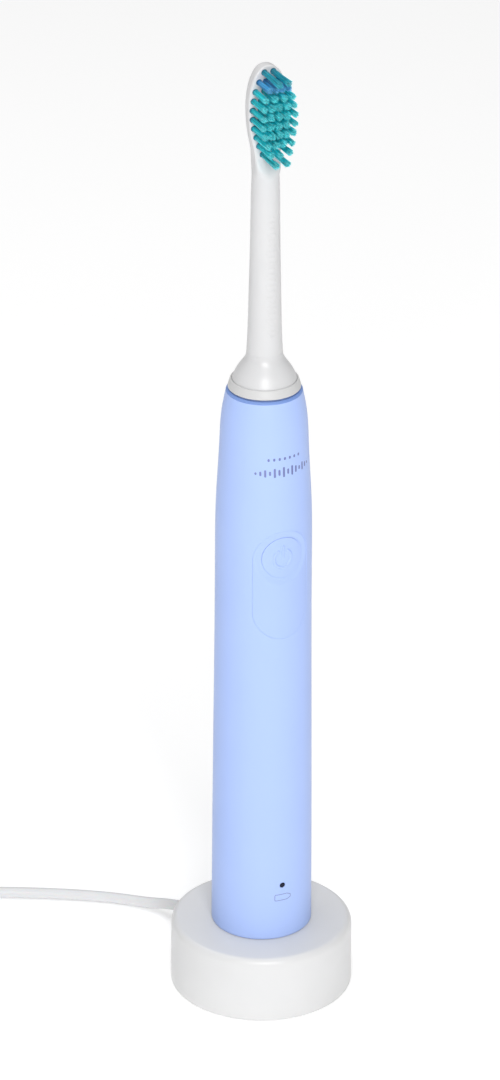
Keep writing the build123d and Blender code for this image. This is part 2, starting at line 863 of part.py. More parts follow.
tuft_anchors.part.label = "tuft_anchors"
export_step(tuft_anchors.part, "parts/tuft_anchors.step")
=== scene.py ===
"""An electric toothbrush standing on its charging puck, with its mains cord put away in a coil.

Shapes are worked out in millimetres and go into their meshes in metres. The brush's front faces
-Y, and an angle round the brush is measured from there towards +X.
"""
import math

import bmesh
import bpy
import numpy as np
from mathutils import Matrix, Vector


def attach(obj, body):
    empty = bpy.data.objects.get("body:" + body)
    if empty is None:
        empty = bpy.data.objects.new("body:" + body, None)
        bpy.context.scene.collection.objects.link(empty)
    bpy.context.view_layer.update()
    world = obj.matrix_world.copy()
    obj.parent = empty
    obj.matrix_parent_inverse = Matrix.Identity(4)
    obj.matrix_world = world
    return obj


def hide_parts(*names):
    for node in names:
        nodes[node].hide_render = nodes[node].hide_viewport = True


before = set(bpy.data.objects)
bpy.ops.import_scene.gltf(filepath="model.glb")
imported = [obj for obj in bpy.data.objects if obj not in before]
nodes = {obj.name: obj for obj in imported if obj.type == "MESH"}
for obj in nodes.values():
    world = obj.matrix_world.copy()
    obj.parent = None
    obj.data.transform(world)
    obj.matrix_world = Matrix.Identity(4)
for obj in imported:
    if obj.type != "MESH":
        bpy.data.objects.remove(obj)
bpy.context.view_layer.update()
scene = bpy.context.scene
MM = 0.001
rng = np.random.default_rng(7)


# ---------------------------------------------------------------- materials
def linear(colour):
    """An sRGB hex colour as linear light: below 0.04045 divided by 12.92, above it the 2.4 power."""
    parts = np.array([int(colour[i:i + 2], 16) for i in (0, 2, 4)]) / 255
    parts = np.where(parts <= 0.04045, parts / 12.92, ((parts + 0.055) / 1.055) ** 2.4)
    return (*parts.tolist(), 1.0)


def add_node(tree, kind, inputs=None, **settings):
    """One node with its settings; an input is a value, or the socket that feeds it."""
    node = tree.nodes.new(kind)
    for name, value in settings.items():
        setattr(node, name, value)
    for name, value in (inputs or {}).items():
        if isinstance(value, bpy.types.NodeSocket):
            tree.links.new(value, node.inputs[name])
        else:
            node.inputs[name].default_value = value
    return node


def finish_of(name, **sockets):
    """An empty finish: its tree, its shader with the fixed values, and object coordinates."""
    made = bpy.data.materials.new(name)
    made.use_nodes = True
    tree = made.node_tree
    tree.nodes.clear()
    shader = add_node(tree, "ShaderNodeBsdfPrincipled", sockets)
    add_node(tree, "ShaderNodeOutputMaterial", {"Surface": shader.outputs["BSDF"]})
    place = add_node(tree, "ShaderNodeTexCoord").outputs["Object"]
    return made, tree, shader, place


def worked(tree, shader, broad, fine, colours, roughnesses, height):
    """A surface's variation: the broad pattern runs its colour and its roughness each from one
    end of their pair to the other, and the fine pattern raises it by height mm."""
    tint = add_node(tree, "ShaderNodeMix",
                    {"Factor": broad, "A": linear(colours[0]), "B": linear(colours[1])},
                    data_type="RGBA")
    tree.links.new(tint.outputs["Result"], shader.inputs["Base Color"])
    gloss = add_node(tree, "ShaderNodeMapRange",
                     {"Value": broad, "From Min": 0.3, "From Max": 0.7,
                      "To Min": roughnesses[0], "To Max": roughnesses[1]})
    tree.links.new(gloss.outputs["Result"], shader.inputs["Roughness"])
    bump = add_node(tree, "ShaderNodeBump",
                    {"Height": fine, "Distance": height * MM, "Strength": 1.0})
    tree.links.new(bump.outputs["Normal"], shader.inputs["Normal"])


def moulded(name, colour, shade, roughness, grain=0.35, height=0.004, cloud=9.0, spread=0.05,
            **sockets):
    """A moulded plastic or rubber. Broad clouds shift its colour a little towards shade and its
    roughness by spread, and a fine grain, grain mm across and height mm deep, breaks its gloss."""
    made, tree, shader, place = finish_of(name, **sockets)
    clouds = add_node(tree, "ShaderNodeTexNoise",
                      {"Vector": place, "Scale": 1 / (cloud * MM), "Detail": 3.0})
    grains = add_node(tree, "ShaderNodeTexNoise",
                      {"Vector": place, "Scale": 1 / (grain * MM), "Detail": 2.0})
    worked(tree, shader, clouds.outputs["Fac"], grains.outputs["Fac"], (colour, shade),
           (roughness - spread, roughness + spread), height)
    return made


def metal(name, colour, shade, roughness, stretch=(1, 1, 1), grain=0.4, height=0.002, **sockets):
    """A bare metal. A noise stretched along the way it was worked varies colour and roughness."""
    made, tree, shader, place = finish_of(name, Metallic=1.0, **sockets)
    along = add_node(tree, "ShaderNodeMapping", {"Vector": place, "Scale": stretch})
    lines = add_node(tree, "ShaderNodeTexNoise",
                     {"Vector": along.outputs["Vector"], "Scale": 1 / (grain * MM), "Detail": 3.0})
    worked(tree, shader, lines.outputs["Fac"], lines.outputs["Fac"], (colour, shade),
           (roughness * 0.8, roughness * 1.25), height)
    return made


def bristle(name, root, middle, tip):
    """Nylon filament. The piece's UV map holds a number for each filament across and the way
    along it up, so each filament is a little lighter or darker and its tip is paler."""
    made, tree, shader, _ = finish_of(
        name, **{"Roughness": 0.3, "IOR": 1.53, "Subsurface Weight": 0.6,
                 "Subsurface Radius": (0.25, 1.0, 1.1), "Subsurface Scale": 0.001,
                 "Specular IOR Level": 0.45})
    where = add_node(tree, "ShaderNodeUVMap", uv_map="filament")
    parts = add_node(tree, "ShaderNodeSeparateXYZ", {"Vector": where.outputs["UV"]})
    ramp = add_node(tree, "ShaderNodeValToRGB", {"Fac": parts.outputs["Y"]})
    ramp.color_ramp.elements[0].color = linear(root)
    ramp.color_ramp.elements[1].color = linear(tip)
    ramp.color_ramp.elements.new(0.35).color = linear(middle)
    ramp.color_ramp.elements.new(0.85).color = linear(middle)
    lift = add_node(tree, "ShaderNodeMapRange",
                    {"Value": parts.outputs["X"], "To Min": 0.6, "To Max": 1.35})
    vary = add_node(tree, "ShaderNodeHueSaturation",
                    {"Color": ramp.outputs["Color"], "Value": lift.outputs["Result"]})
    tree.links.new(vary.outputs["Color"], shader.inputs["Base Color"])
    return made


finishes = {
    # injection-moulded ABS, spark-eroded tool: even white with a low satin gloss
    "charger_shell": moulded("charger_satin_white_abs", "DEDEDE", "DADADA", 0.38, 0.3, 0.003,
                             **{"Coat Weight": 0.08, "Coat Roughness": 0.2}),
    # sintered ferrite: dark charcoal, dull, with a granular skin
    "ferrite": moulded("sintered_ferrite", "2B2B2E", "1D1D20", 0.7, 0.25, 0.02),
    # glass-filled nylon bobbin: creamy, matt, slightly fibrous
    "bobbin_plastic": moulded("glass_filled_nylon", "D3D0C6", "C4C0B4", 0.55, 0.3, 0.01),
    # enamelled copper winding: warm orange metal under clear varnish
    "copper_wire": metal("enamelled_copper", "C8723A", "9C4F22", 0.3, (1, 1, 4), 0.3, 0.02,
                         **{"Coat Weight": 0.6, "Coat Roughness": 0.15}),
    # glass-epoxy board under green solder mask: deep green with a wet gloss
    "circuit_board": moulded("green_solder_mask", "1C5A36", "123F26", 0.25, 0.6, 0.004),
    # moulded black epoxy of the board's parts: near-black and matt
    "component_plastic": moulded("black_component_epoxy", "1D1D1F", "111113", 0.5, 0.2, 0.004),
    # PVC lead insulation: mid blue, waxy
    "lead_insulation": moulded("blue_lead_pvc", "33519E", "27407F", 0.4, 0.5, 0.003),
    # soft white PVC jacket: faint waviness from extrusion and a dull gloss
    "cord_jacket": moulded("white_cord_pvc", "D8D8D9", "D2D3D4", 0.42, 1.2, 0.02,
                           cloud=14.0, **{"Subsurface Weight": 0.1,
                                          "Subsurface Scale": 0.001}),
    # overmoulded white PVC: fine spark texture, softer than the cord
    "plug_shell": moulded("white_plug_pvc", "D6D6D7", "D0D1D3", 0.5, 0.3, 0.008),
    # insulating sleeve on the pins: smooth white nylon
    "pin_sleeve": moulded("white_pin_nylon", "D8D8D6", "D0D0CE", 0.35, 0.4, 0.003),
    # nickel-plated brass pins: bright, slightly warm, fine turning lines
    "pin_metal": metal("nickel_plated_brass", "CFCBC2", "B4B0A6", 0.2, (6, 1, 6), 0.3, 0.002),
    # ABS with a matt soft-touch lacquer: light blue with a wide, milky highlight
    "handle_shell": moulded("light_blue_soft_lacquer", "AEC5F8", "AAC1F6", 0.42, 0.22, 0.003,
                            cloud=16.0, spread=0.03, **{"Specular IOR Level": 0.35}),
    # thermoplastic elastomer round the button: the same blue, duller
    "soft_panel": moulded("light_blue_elastomer", "ADC4F7", "A9C0F5", 0.52, 0.18, 0.005,
                          cloud=12.0, **{"Specular IOR Level": 0.35}),
    # the button's elastomer skin: the same blue, duller
    "soft_button": moulded("light_blue_button_elastomer", "ADC4F7", "A9C0F5", 0.48, 0.18, 0.004,
                           cloud=10.0, **{"Specular IOR Level": 0.35}),
    # nitrile seal: black, matt, a little dusty
    "seal_rubber": moulded("black_nitrile", "232325", "18181A", 0.65, 0.3, 0.01),
    # smoked polycarbonate over the lamp: near-black navy, glossy
    "smoked_lens": moulded("smoked_polycarbonate", "0A1230", "070C22", 0.2, 1.0, 0.001,
                           **{"Specular IOR Level": 0.25}),
    # printed heat-shrink sleeve on the cell: blue, shiny
    "battery_sleeve": moulded("blue_shrink_sleeve", "2C57A0", "234A8C", 0.28, 2.0, 0.02),
    # cold-rolled stainless strip: grey with lines along the strip
    "spring_steel": metal("rolled_stainless", "B9BABC", "9A9B9E", 0.28, (5, 5, 1), 0.3, 0.003),
    # clear epoxy of the lamp: pale, glossy
    "led_epoxy": moulded("clear_lamp_epoxy", "DDEBD9", "CFE0CB", 0.15, 1.0, 0.001),
    # stamped and stacked electrical steel: dark grey with lines across the stack
    "motor_steel": metal("laminated_steel", "85888C", "66696D", 0.4, (1, 1, 8), 0.6, 0.01),
    # oil-filled sintered bronze: brown-gold, dull and porous
    "bearing_bronze": metal("sintered_bronze", "A9803F", "7F5C2A", 0.45, (1, 1, 1), 0.2, 0.01),
    # nickel-plated magnet: bright grey
    "magnet": metal("nickel_plated_magnet", "B5B7BA", "9B9DA1", 0.22, (1, 1, 1), 0.5, 0.002),
    # acetal ring under the brush head: warm off-white, satin
    "ring_plastic": moulded("off_white_acetal", "CFCFCF", "CACACA", 0.4, 0.3, 0.003),
    # polypropylene brush head: clean white, slightly translucent, low gloss
    "brush_plastic": moulded("white_polypropylene", "D5D5D6", "D1D1D2", 0.34, 0.3, 0.002,
                             **{"Subsurface Weight": 0.12, "Subsurface Scale": 0.0015,
                                "Subsurface Radius": (1.0, 0.95, 0.9)}),
    # natural acetal insert that grips the shaft: creamy white, satin
    "insert_plastic": moulded("natural_acetal", "EBEAE4", "E0DFD8", 0.4, 0.4, 0.003),
    # dyed nylon filament: turquoise, darker at the root and paler at the tip
    "teal_bristle": bristle("teal_nylon_filament", "14B4CC", "1EDDEE", "74EEF4"),
    # dyed nylon filament of the marker row: mid blue, darker at the root and paler at the tip
    "blue_bristle": bristle("blue_nylon_filament", "2263B4", "429FE4", "6FBCEE"),
    # brass strip that anchors each tuft: yellow, bright
    "anchor_brass": metal("bright_brass", "D9B35C", "B98F3E", 0.25, (4, 1, 1), 0.3, 0.002),
}

# the same nylon in a darker teal for the tip row's longest tufts: dark teal with pale ends
deep_teal = bristle("deep_teal_nylon_filament", "0C87A4", "17A6C2", "52CBDD")
# painted shade: the handle's lacquer in a deeper blue over the seat of the ring, where the ring's
# shadow falls on the shell's top edge; a little glossier
ring_shade_blue = moulded("painted_ring_shade_lacquer", "7C9BD8", "7593D2", 0.36, 0.22, 0.003, cloud=12.0)
# painted shadow at the lip of a tuft's hole: the polypropylene in a dark teal where the tuft shades
# it
hole_shadow = moulded("painted_hole_shadow_polypropylene", "2F6F84", "255E74", 0.5, 0.3, 0.002)

for node in nodes.values():
    for place in node.material_slots:
        place.material = finishes[place.material.name.split(".")[0]]

# silver-lavender pad-printing ink: metal flake, pale where it faces a light and dark at the edge
print_ink = metal("silver_lavender_ink", "8E95C4", "747BB0", 0.38, (1, 1, 1), 0.3, 0.002)
# grey-violet line ink round the lamp's sign: matt, a little lighter where it is thin
line_ink = moulded("grey_violet_ink", "7F88BE", "8E97C9", 0.5, 0.3, 0.002)

# ---------------------------------------------------------------- camera
VIEW_AZIMUTH = math.radians(-24.6)
VIEW_PITCH = math.radians(26.4)
VIEW_DISTANCE = 1.296
VIEW_HEIGHT = 0.7778
VIEW_ASIDE = -0.0036
VIEW_ROLL = math.radians(0.26)

camera = bpy.data.objects.new("camera", bpy.data.cameras.new("camera"))
scene.collection.objects.link(camera)
camera.data.sensor_width = 36.0
camera.data.lens = 180.9
camera.data.clip_start = 0.1
camera.data.clip_end = 20.0
to_right = np.array([math.cos(VIEW_AZIMUTH), math.sin(VIEW_AZIMUTH), 0])
backwards = np.array([math.sin(VIEW_AZIMUTH), -math.cos(VIEW_AZIMUTH), 0])
camera.location = (VIEW_DISTANCE * backwards + VIEW_ASIDE * to_right + [0, 0, VIEW_HEIGHT]).tolist()
aim = -backwards * math.cos(VIEW_PITCH) - np.array([0, 0, math.sin(VIEW_PITCH)])
looking = Vector(aim.tolist()).to_track_quat("-Z", "Y")
camera.rotation_euler = looking.to_euler()
camera.rotation_euler.rotate_axis("Z", VIEW_ROLL)
scene.camera = camera

# ---------------------------------------------------------------- cord
CORD_DIAMETER = 3.1
cord_angle = math.radians(13.4)
cord_way = np.array([-math.sin(cord_angle), math.cos(cord_angle), 0.0])
CHARGER_RADIUS = 25.0
CORD_HEIGHT = 5.0
RELIEF_OUTSIDE = 11.0
relief_tip = cord_way * (CHARGER_RADIUS + RELIEF_OUTSIDE) + [0, 0, CORD_HEIGHT]
free_run = [
    relief_tip.tolist(),
    (-9.9, 40.3, 3.4),
    (-14.0, 45.8, 1.8),
    (-22.9, 53.9, 1.55),
    (-38.7, 63.4, 1.55),
    (-56.2, 71.8, 1.55),
    (-73.8, 76.5, 1.55),
]
tail_run = [
    (-110.3, 50.0, 4.8),
    (-110.3, 42.2, 5.6),
    (-109.7, 34.2, 6.9),
]
COIL_CENTRE = (-87.8, 57.4)
TURN_RADII = [23.25, 20.15, 17.05, 13.95]
TURN_POINTS = 16
FIRST_ANGLE = 76.3
LAST_ANGLE = 198.1
LAST_GAP = 0.6          # steps left between the coil's last point and LAST_ANGLE, at least
STEP_OVER_FROM = 0.80   # share of a turn after which it moves to the next radius
CLIMB_FROM = 3.68       # turns after which the cord climbs to the upper layer
CLIMB_TURNS = 0.22
CUT_INSIDE = 0.981      # about the cosine of half a step


def coil_points():
    """The coil's control points, anticlockwise. The lower layer runs inwards, one turn at each
    radius, the inmost turn climbs by a diameter, and the upper layer runs outwards over it. The
    spline cuts inside its points, so they stand further out than the turn by 1 / CUT_INSIDE."""
    step = 360.0 / TURN_POINTS
    turns = len(TURN_RADII) * 2 - 1 + (LAST_ANGLE - FIRST_ANGLE) / 360.0
    turned_by = np.arange(0, turns * 360.0 - LAST_GAP * step, step)
    turn = turned_by / 360.0
    inward = np.array(TURN_RADII)
    ladder = np.concatenate([inward, inward[::-1]])
    level = np.floor(turn).astype(int)
    share = np.clip((turn - level - STEP_OVER_FROM) / (1 - STEP_OVER_FROM), 0, 1)
    radius = ladder[level] * (1 - share) + ladder[np.minimum(level + 1, len(ladder) - 1)] * share
    radius = radius / CUT_INSIDE
    climb = np.clip((turn - CLIMB_FROM) / CLIMB_TURNS, 0, 1)
    height = CORD_DIAMETER / 2 + CORD_DIAMETER * climb
    angle = np.radians(FIRST_ANGLE + turned_by)
    return np.stack([COIL_CENTRE[0] + radius * np.cos(angle),
                     COIL_CENTRE[1] + radius * np.sin(angle), height], axis=1)


def cord_curve(name, points, diameter):
    """A round cord: one open NURBS spline of order 3 that ends at its end points."""
    curve = bpy.data.curves.new(name, "CURVE")
    curve.dimensions = "3D"
    curve.bevel_depth = diameter / 2 * MM
    curve.bevel_resolution = 5
    curve.use_fill_caps = True
    spline = curve.splines.new("NURBS")
    spline.points.add(len(points) - 1)
    homogeneous = np.hstack([np.asarray(points, float) * MM, np.ones((len(points), 1))])
    spline.points.foreach_set("co", homogeneous.astype(np.float32).ravel())
    spline.order_u = 3
    spline.use_endpoint_u = True
    spline.resolution_u = 8
    piece = bpy.data.objects.new(name, curve)
    scene.collection.objects.link(piece)
    return piece


cord_line = np.vstack([free_run, coil_points(), tail_run])
mains_cord = cord_curve("mains_cord", cord_line, CORD_DIAMETER)
mains_cord.data.materials.append(finishes["cord_jacket"])
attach(mains_cord, "charger")
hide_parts("cord", "cord_coil", "cord_tail")


# ---------------------------------------------------------------- making surfaces
def grid_quads(rows, columns, wrap=True, wrap_rows=False):
    """Quads between neighbours of a grid kept row by row, joined round its columns with wrap and
    from its last row to its first with wrap_rows."""
    row, column = np.meshgrid(np.arange(rows if wrap_rows else rows - 1),
                              np.arange(columns if wrap else columns - 1), indexing="ij")
    above, beside = (row + 1) % rows, (column + 1) % columns
    return np.stack([row * columns + column, row * columns + beside,
                     above * columns + beside, above * columns + column], axis=-1).reshape(-1, 4)


def finished(mesh, finish, body, replaced, sharp, merged=False):
    """A mesh as a piece that rides on a body: doubles merged where asked, which closes poles and
    seams, faces turned outwards, and edges sharper than sharp degrees kept crisp."""
    work = bmesh.new()
    work.from_mesh(mesh)
    if merged:
        bmesh.ops.remove_doubles(work, verts=work.verts, dist=1e-7)
    bmesh.ops.recalc_face_normals(work, faces=work.faces)
    work.to_mesh(mesh)
    work.free()
    mesh.shade_smooth()
    mesh.set_sharp_from_angle(angle=math.radians(sharp))
    mesh.materials.append(finish)
    piece = bpy.data.objects.new(mesh.name, mesh)
    scene.collection.objects.link(piece)
    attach(piece, body)
    if replaced:
        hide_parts(*replaced)
    return piece


def piece_of(name, points, quads, finish, body, slot, replaced=(), sharp=40):
    """A finished piece from a grid's points in millimetres and its quads."""
    mesh = bpy.data.meshes.new(name)
    mesh.from_pydata((np.asarray(points).reshape(-1, 3) * MM).tolist(), [], quads.tolist())
    return finished(mesh, finish, body, replaced, sharp, merged=True)


def joined(parts):
    """Several (points, quads) sets as one, with each set's numbers moved past those before it."""
    starts = np.cumsum([0] + [len(points.reshape(-1, 3)) for points, _ in parts[:-1]])
    return (np.vstack([points.reshape(-1, 3) for points, _ in parts]),
            np.vstack([quads + start for (_, quads), start in zip(parts, starts)]))


def rounded(corners, steps=6):
    """A path of (across, along) points through corners (across, along, radius): each becomes the
    arc of that radius that touches both its sides, and one of radius 0 stays sharp."""
    path = []
    spots = np.array([corner[:2] for corner in corners], float)
    for i, corner in enumerate(corners):
        radius = corner[2] if len(corner) > 2 else 0
        if radius == 0 or i in (0, len(corners) - 1):
            path.append(spots[i][None])
            continue
        back = (spots[i - 1] - spots[i]) / np.linalg.norm(spots[i - 1] - spots[i])
        ahead = (spots[i + 1] - spots[i]) / np.linalg.norm(spots[i + 1] - spots[i])
        half = math.acos(np.clip(back @ ahead, -1, 1)) / 2
        middle = spots[i] + (back + ahead) / np.linalg.norm(back + ahead) * radius / math.sin(half)
        first = spots[i] + back * radius / math.tan(half) - middle
        last = spots[i] + ahead * radius / math.tan(half) - middle
        turn = math.pi - 2 * half
        way = np.linspace(0, 1, steps + 1)[:, None]
        path.append(middle + (np.sin((1 - way) * turn) * first + np.sin(way * turn) * last)
                    / math.sin(turn))
    return np.vstack(path)


def turned(profile, segments=128, origin=(0, 0, 0), axis=(0, 0, 1), closed=True):
    """A profile of (radius, along) carried round an axis: each point is the origin plus along
    times the axis plus radius times a unit vector turning round it."""
    profile = np.asarray(profile, float)
    axis = np.asarray(axis, float) / np.linalg.norm(axis)
    side = np.cross(axis, [0.3, 0.5, 1.0] if abs(axis[2]) < 0.9 else [0, 1, 0])
    side /= np.linalg.norm(side)
    up = np.cross(axis, side)
    angle = np.linspace(0, 2 * math.pi, segments, endpoint=False)
    around = np.cos(angle)[:, None] * side + np.sin(angle)[:, None] * up
    points = (np.asarray(origin, float) + profile[:, 1][:, None, None] * axis
              + profile[:, 0][:, None, None] * around)
    return points, grid_quads(len(profile), segments, wrap_rows=closed)


def smooth_through(knots, values, at):
    """A natural cubic spline: its second slopes at the knots solve the usual three-diagonal
    system, and each piece is the cubic with those second slopes and the knots' values."""
    knots, values, at = (np.asarray(x, float) for x in (knots, values, at))
    gap = np.diff(knots)
    system = (np.diag(np.r_[1, 2 * (gap[:-1] + gap[1:]), 1])
              + np.diag(np.r_[0, gap[1:]], 1) + np.diag(np.r_[gap[:-1], 0], -1))
    bend = np.linalg.solve(system, np.r_[0, 6 * np.diff(np.diff(values) / gap), 0])
    k = np.clip(np.searchsorted(knots, at) - 1, 0, len(gap) - 1)
    before, after = at - knots[k], knots[k + 1] - at
    return ((bend[k] * after ** 3 + bend[k + 1] * before ** 3) / (6 * gap[k])
            + (values[k] / gap[k] - bend[k] * gap[k] / 6) * after
            + (values[k + 1] / gap[k] - bend[k + 1] * gap[k] / 6) * before)


def eased(value, low, high):
    """0 below low, 1 above high, and the cubic 3t^2 - 2t^3 between."""
    t = np.clip((value - low) / (high - low), 0, 1)
    return t * t * (3 - 2 * t)


# ---------------------------------------------------------------- charger
CHARGER_HEIGHT = 19.0
WALL = 2.0
POST_RADIUS = 4.2
POST_TOP = 27.0

puck = rounded([
    (0, POST_TOP), (POST_RADIUS, POST_TOP, 1.2), (POST_RADIUS, CHARGER_HEIGHT, 0.35),
    (CHARGER_RADIUS - 0.15, CHARGER_HEIGHT, 1.9), (CHARGER_RADIUS, 0, 0.45),
    (CHARGER_RADIUS - WALL, 0, 0.3), (CHARGER_RADIUS - WALL - 0.15, CHARGER_HEIGHT - WALL, 0.8),
    (POST_RADIUS - 1.3, CHARGER_HEIGHT - WALL, 0.2), (POST_RADIUS - 1.3, POST_TOP - 1.6, 0.3),
    (0, POST_TOP - 1.6),
], steps=10)
piece_of("charger_housing", *turned(puck, 256, closed=False), finishes["charger_shell"],
         "charger", "charger_shell", ["charger_cover"])

# The strain relief: a collar on the wall, then a tapered boot with grooves cut round it.
COLLAR_LENGTH = 1.8
BOOT_RADIUS = 3.05
BOOT_TIP_RADIUS = 2.1
GROOVE_PITCH = 1.55
GROOVE_DEPTH = 0.42
boot_along = np.linspace(COLLAR_LENGTH, RELIEF_OUTSIDE - 0.35, 150)
boot_radius = np.interp(boot_along, [COLLAR_LENGTH, RELIEF_OUTSIDE], [BOOT_RADIUS, BOOT_TIP_RADIUS])
groove = 0.5 - 0.5 * np.cos(2 * math.pi * (boot_along - 2.2) / GROOVE_PITCH)
boot_radius -= (GROOVE_DEPTH * eased(groove, 0.55, 0.85) * eased(boot_along, 2.1, 2.6)
                * (1 - eased(boot_along, 9.3, 9.8)))
boot = np.vstack([
    rounded([(0, -9.0), (2.3, -9.0, 0.3), (2.3, 0.05), (3.3, 0.05, 0.2),
             (3.3, COLLAR_LENGTH, 0.5), (BOOT_RADIUS, COLLAR_LENGTH)], steps=5),
    np.stack([boot_radius, boot_along], axis=1),
    rounded([(2.13, RELIEF_OUTSIDE - 0.3), (BOOT_TIP_RADIUS, RELIEF_OUTSIDE, 0.25),
             (1.62, RELIEF_OUTSIDE, 0.1),
             (1.58, RELIEF_OUTSIDE - 0.6), (0, RELIEF_OUTSIDE - 0.6)], steps=4),
])
relief = piece_of("strain_relief_boot",
                  *turned(boot, 64, cord_way * CHARGER_RADIUS + [0, 0, CORD_HEIGHT], cord_way,
                          closed=False),
                  finishes["cord_jacket"], "charger", "cord_jacket", ["strain_relief"], sharp=50)

# The plug: a flat two-pin body with grip ribs, lofted along its own axis from grip to face.
PLUG_LENGTH = 34.0
PLUG_EDGE = 1.0
PLUG_SEGMENTS = 160
plug_way = np.array([tail_run[2][0] - tail_run[1][0], tail_run[2][1] - tail_run[1][1], 0.0])
plug_way /= np.linalg.norm(plug_way)
plug_side = np.array([plug_way[1], -plug_way[0], 0.0])
plug_start = np.array(tail_run[2])
plug_stations = np.array([0.0, 0.6, 2.5, 9.0, 11.0, 14.0, 19.0, 24.0, 29.0, 33.0, PLUG_LENGTH])
plug_half_width = np.array([2.6, 3.15, 3.3, 3.7, 5.4, 8.3, 12.6, 15.9, 16.9, 17.3, 17.3])
plug_half_depth = np.array([2.6, 3.15, 3.3, 3.7, 4.5, 5.1, 6.1, 6.55, 6.7, 6.8, 6.8])
edge_from = PLUG_LENGTH - PLUG_EDGE
plug_along = np.concatenate([np.linspace(0, edge_from, 133),
                             edge_from + PLUG_EDGE * np.sin(np.linspace(0, math.pi / 2, 8))[1:]])
over_edge = np.clip((plug_along - edge_from) / PLUG_EDGE, 0, 1)
round_over = PLUG_EDGE * (np.sqrt(1 - over_edge ** 2) - 1)
around = np.linspace(0, 2 * math.pi, PLUG_SEGMENTS, endpoint=False)
squareness = 2.0 + 1.6 * eased(plug_along, 9.0, 24.0)
grip_groove = (0.28 * eased(0.5 - 0.5 * np.cos(2 * math.pi * plug_along / 2.0), 0.5, 0.9)
               * eased(plug_along, 0.8, 1.6) * (1 - eased(plug_along, 8.2, 9.2)))
half_width = (np.interp(plug_along, plug_stations, plug_half_width)
              + smooth_through(plug_stations, plug_half_width, plug_along)) / 2
half_depth = np.interp(plug_along, plug_stations, plug_half_depth)
reach = (np.abs(np.cos(around)[None] / (half_width + round_over - grip_groove)[:, None])
         ** squareness[:, None]
         + np.abs(np.sin(around)[None] / (half_depth + round_over - grip_groove)[:, None])
         ** squareness[:, None]) ** (-1 / squareness[:, None])
plug_skin = (plug_start + plug_along[:, None, None] * plug_way
             + (reach * np.cos(around))[..., None] * plug_side
             + (reach * np.sin(around))[..., None] * np.array([0, 0, 1.0]))
plug_foot, plug_face = (np.broadcast_to(plug_start + along * plug_way, (1, PLUG_SEGMENTS, 3))
                        for along in (0, PLUG_LENGTH))
plug_skin = np.vstack([plug_foot, plug_skin, plug_face])
plug = piece_of("plug_housing", plug_skin, grid_quads(len(plug_skin), PLUG_SEGMENTS),
                finishes["plug_shell"], "charger", "plug_shell", ["plug_body"], sharp=50)

PIN_SPACING = 18.6
PIN_RADIUS = 2.0
PIN_LENGTH = 19.0
CORE_RADIUS = 1.25
SLEEVE_RADIUS = 1.8
SLEEVE_END = 9.95
BARE_FROM = 10.1
pin = rounded([(0, -1.0), (CORE_RADIUS, -1.0), (CORE_RADIUS, BARE_FROM),
               (PIN_RADIUS, BARE_FROM, 0.2), (PIN_RADIUS, PIN_LENGTH, 1.4), (0, PIN_LENGTH)],
              steps=8)
sleeve = rounded([(CORE_RADIUS + 0.05, 0.05), (SLEEVE_RADIUS, 0.05),
                  (SLEEVE_RADIUS, SLEEVE_END, 0.2), (CORE_RADIUS + 0.05, SLEEVE_END)], steps=4)
for side_name, sign in (("a", 1), ("b", -1)):
    pin_foot = plug_start + plug_way * PLUG_LENGTH + sign * PIN_SPACING / 2 * plug_side
    piece_of("plug_pin_" + side_name, *turned(pin, 48, pin_foot, plug_way, closed=False),
             finishes["pin_metal"], "charger", "pin_metal",
             ["plug_pins"] if sign == 1 else [])
    piece_of("plug_sleeve_" + side_name, *turned(sleeve, 48, pin_foot, plug_way),
             finishes["pin_sleeve"], "charger", "pin_sleeve",
             ["plug_sleeves"] if sign == 1 else [])

# ---------------------------------------------------------------- handle
HANDLE_BOTTOM = 19.05
HANDLE_TOP = 179.35
HANDLE_WALL = 1.55
SIDE_TOP = 178.9
SIDE_HEIGHTS = [HANDLE_BOTTOM, 55.0, 92.0, 129.0, 147.0, 164.0, 173.0, SIDE_TOP]
SIDE_RADII = [13.75, 13.54, 13.19, 12.95, 12.72, 11.83, 11.25, 10.15]
PANEL_HALF = 7.9
PANEL_LOW = 111.1
PANEL_HIGH = 142.8
BUTTON_RADIUS = 5.85
BUTTON_HEIGHT = PANEL_HIGH - PANEL_HALF
BUTTON_OPENING = 6.3    # radius of the hole through the wall behind the panel
RECESS_DEPTH = 1.06
RECESS_GAP = 0.015
LENS_RADIUS = 0.75
LENS_HEIGHT = 35.6
LENS_GAP = 0.05


def side_radius(height):
    """The handle's outer radius at a height, a natural cubic spline through its stations."""
    return smooth_through(SIDE_HEIGHTS, SIDE_RADII, np.clip(height, HANDLE_BOTTOM, SIDE_TOP))


def on_skin(angle, height, depth=0.0):
    """The point at an angle round the handle and a height, depth under the outer skin."""
    radius = side_radius(height) - depth
    return np.stack([radius * np.sin(angle), -radius * np.cos(angle),
                     np.broadcast_to(height, np.shape(radius))], axis=-1)


def from_front(x, height, depth=0.0):
    """The point straight behind (x, height) as seen from the front, depth under the skin."""
    return on_skin(np.arcsin(x / side_radius(height)), height, depth)


def stadium_reach(way, grow):
    """How far the panel's outline, grown by grow, lies from the button's middle in a direction:
    one half-round is centred there and the other straight below, with straight sides between."""
    half = PANEL_HALF + grow
    drop = PANEL_HIGH - PANEL_LOW - 2 * PANEL_HALF
    across, up = np.abs(np.cos(way)), np.sin(way)
    straight = half / np.maximum(across, 1e-9)
    lower = -drop * up + np.sqrt(np.maximum(half ** 2 - (drop * across) ** 2, 0))
    return np.where(up >= 0, half, np.where(-up * straight <= drop, straight, lower))


def bridge(rim, layers):
    """Quads from one ring of point numbers to the next through every layer."""
    rings = np.vstack([rim] + layers)
    follow = np.roll(rings, -1, axis=1)
    return np.stack([rings[:-1], follow[:-1], follow[1:], rings[1:]], axis=-1).reshape(-1, 4)


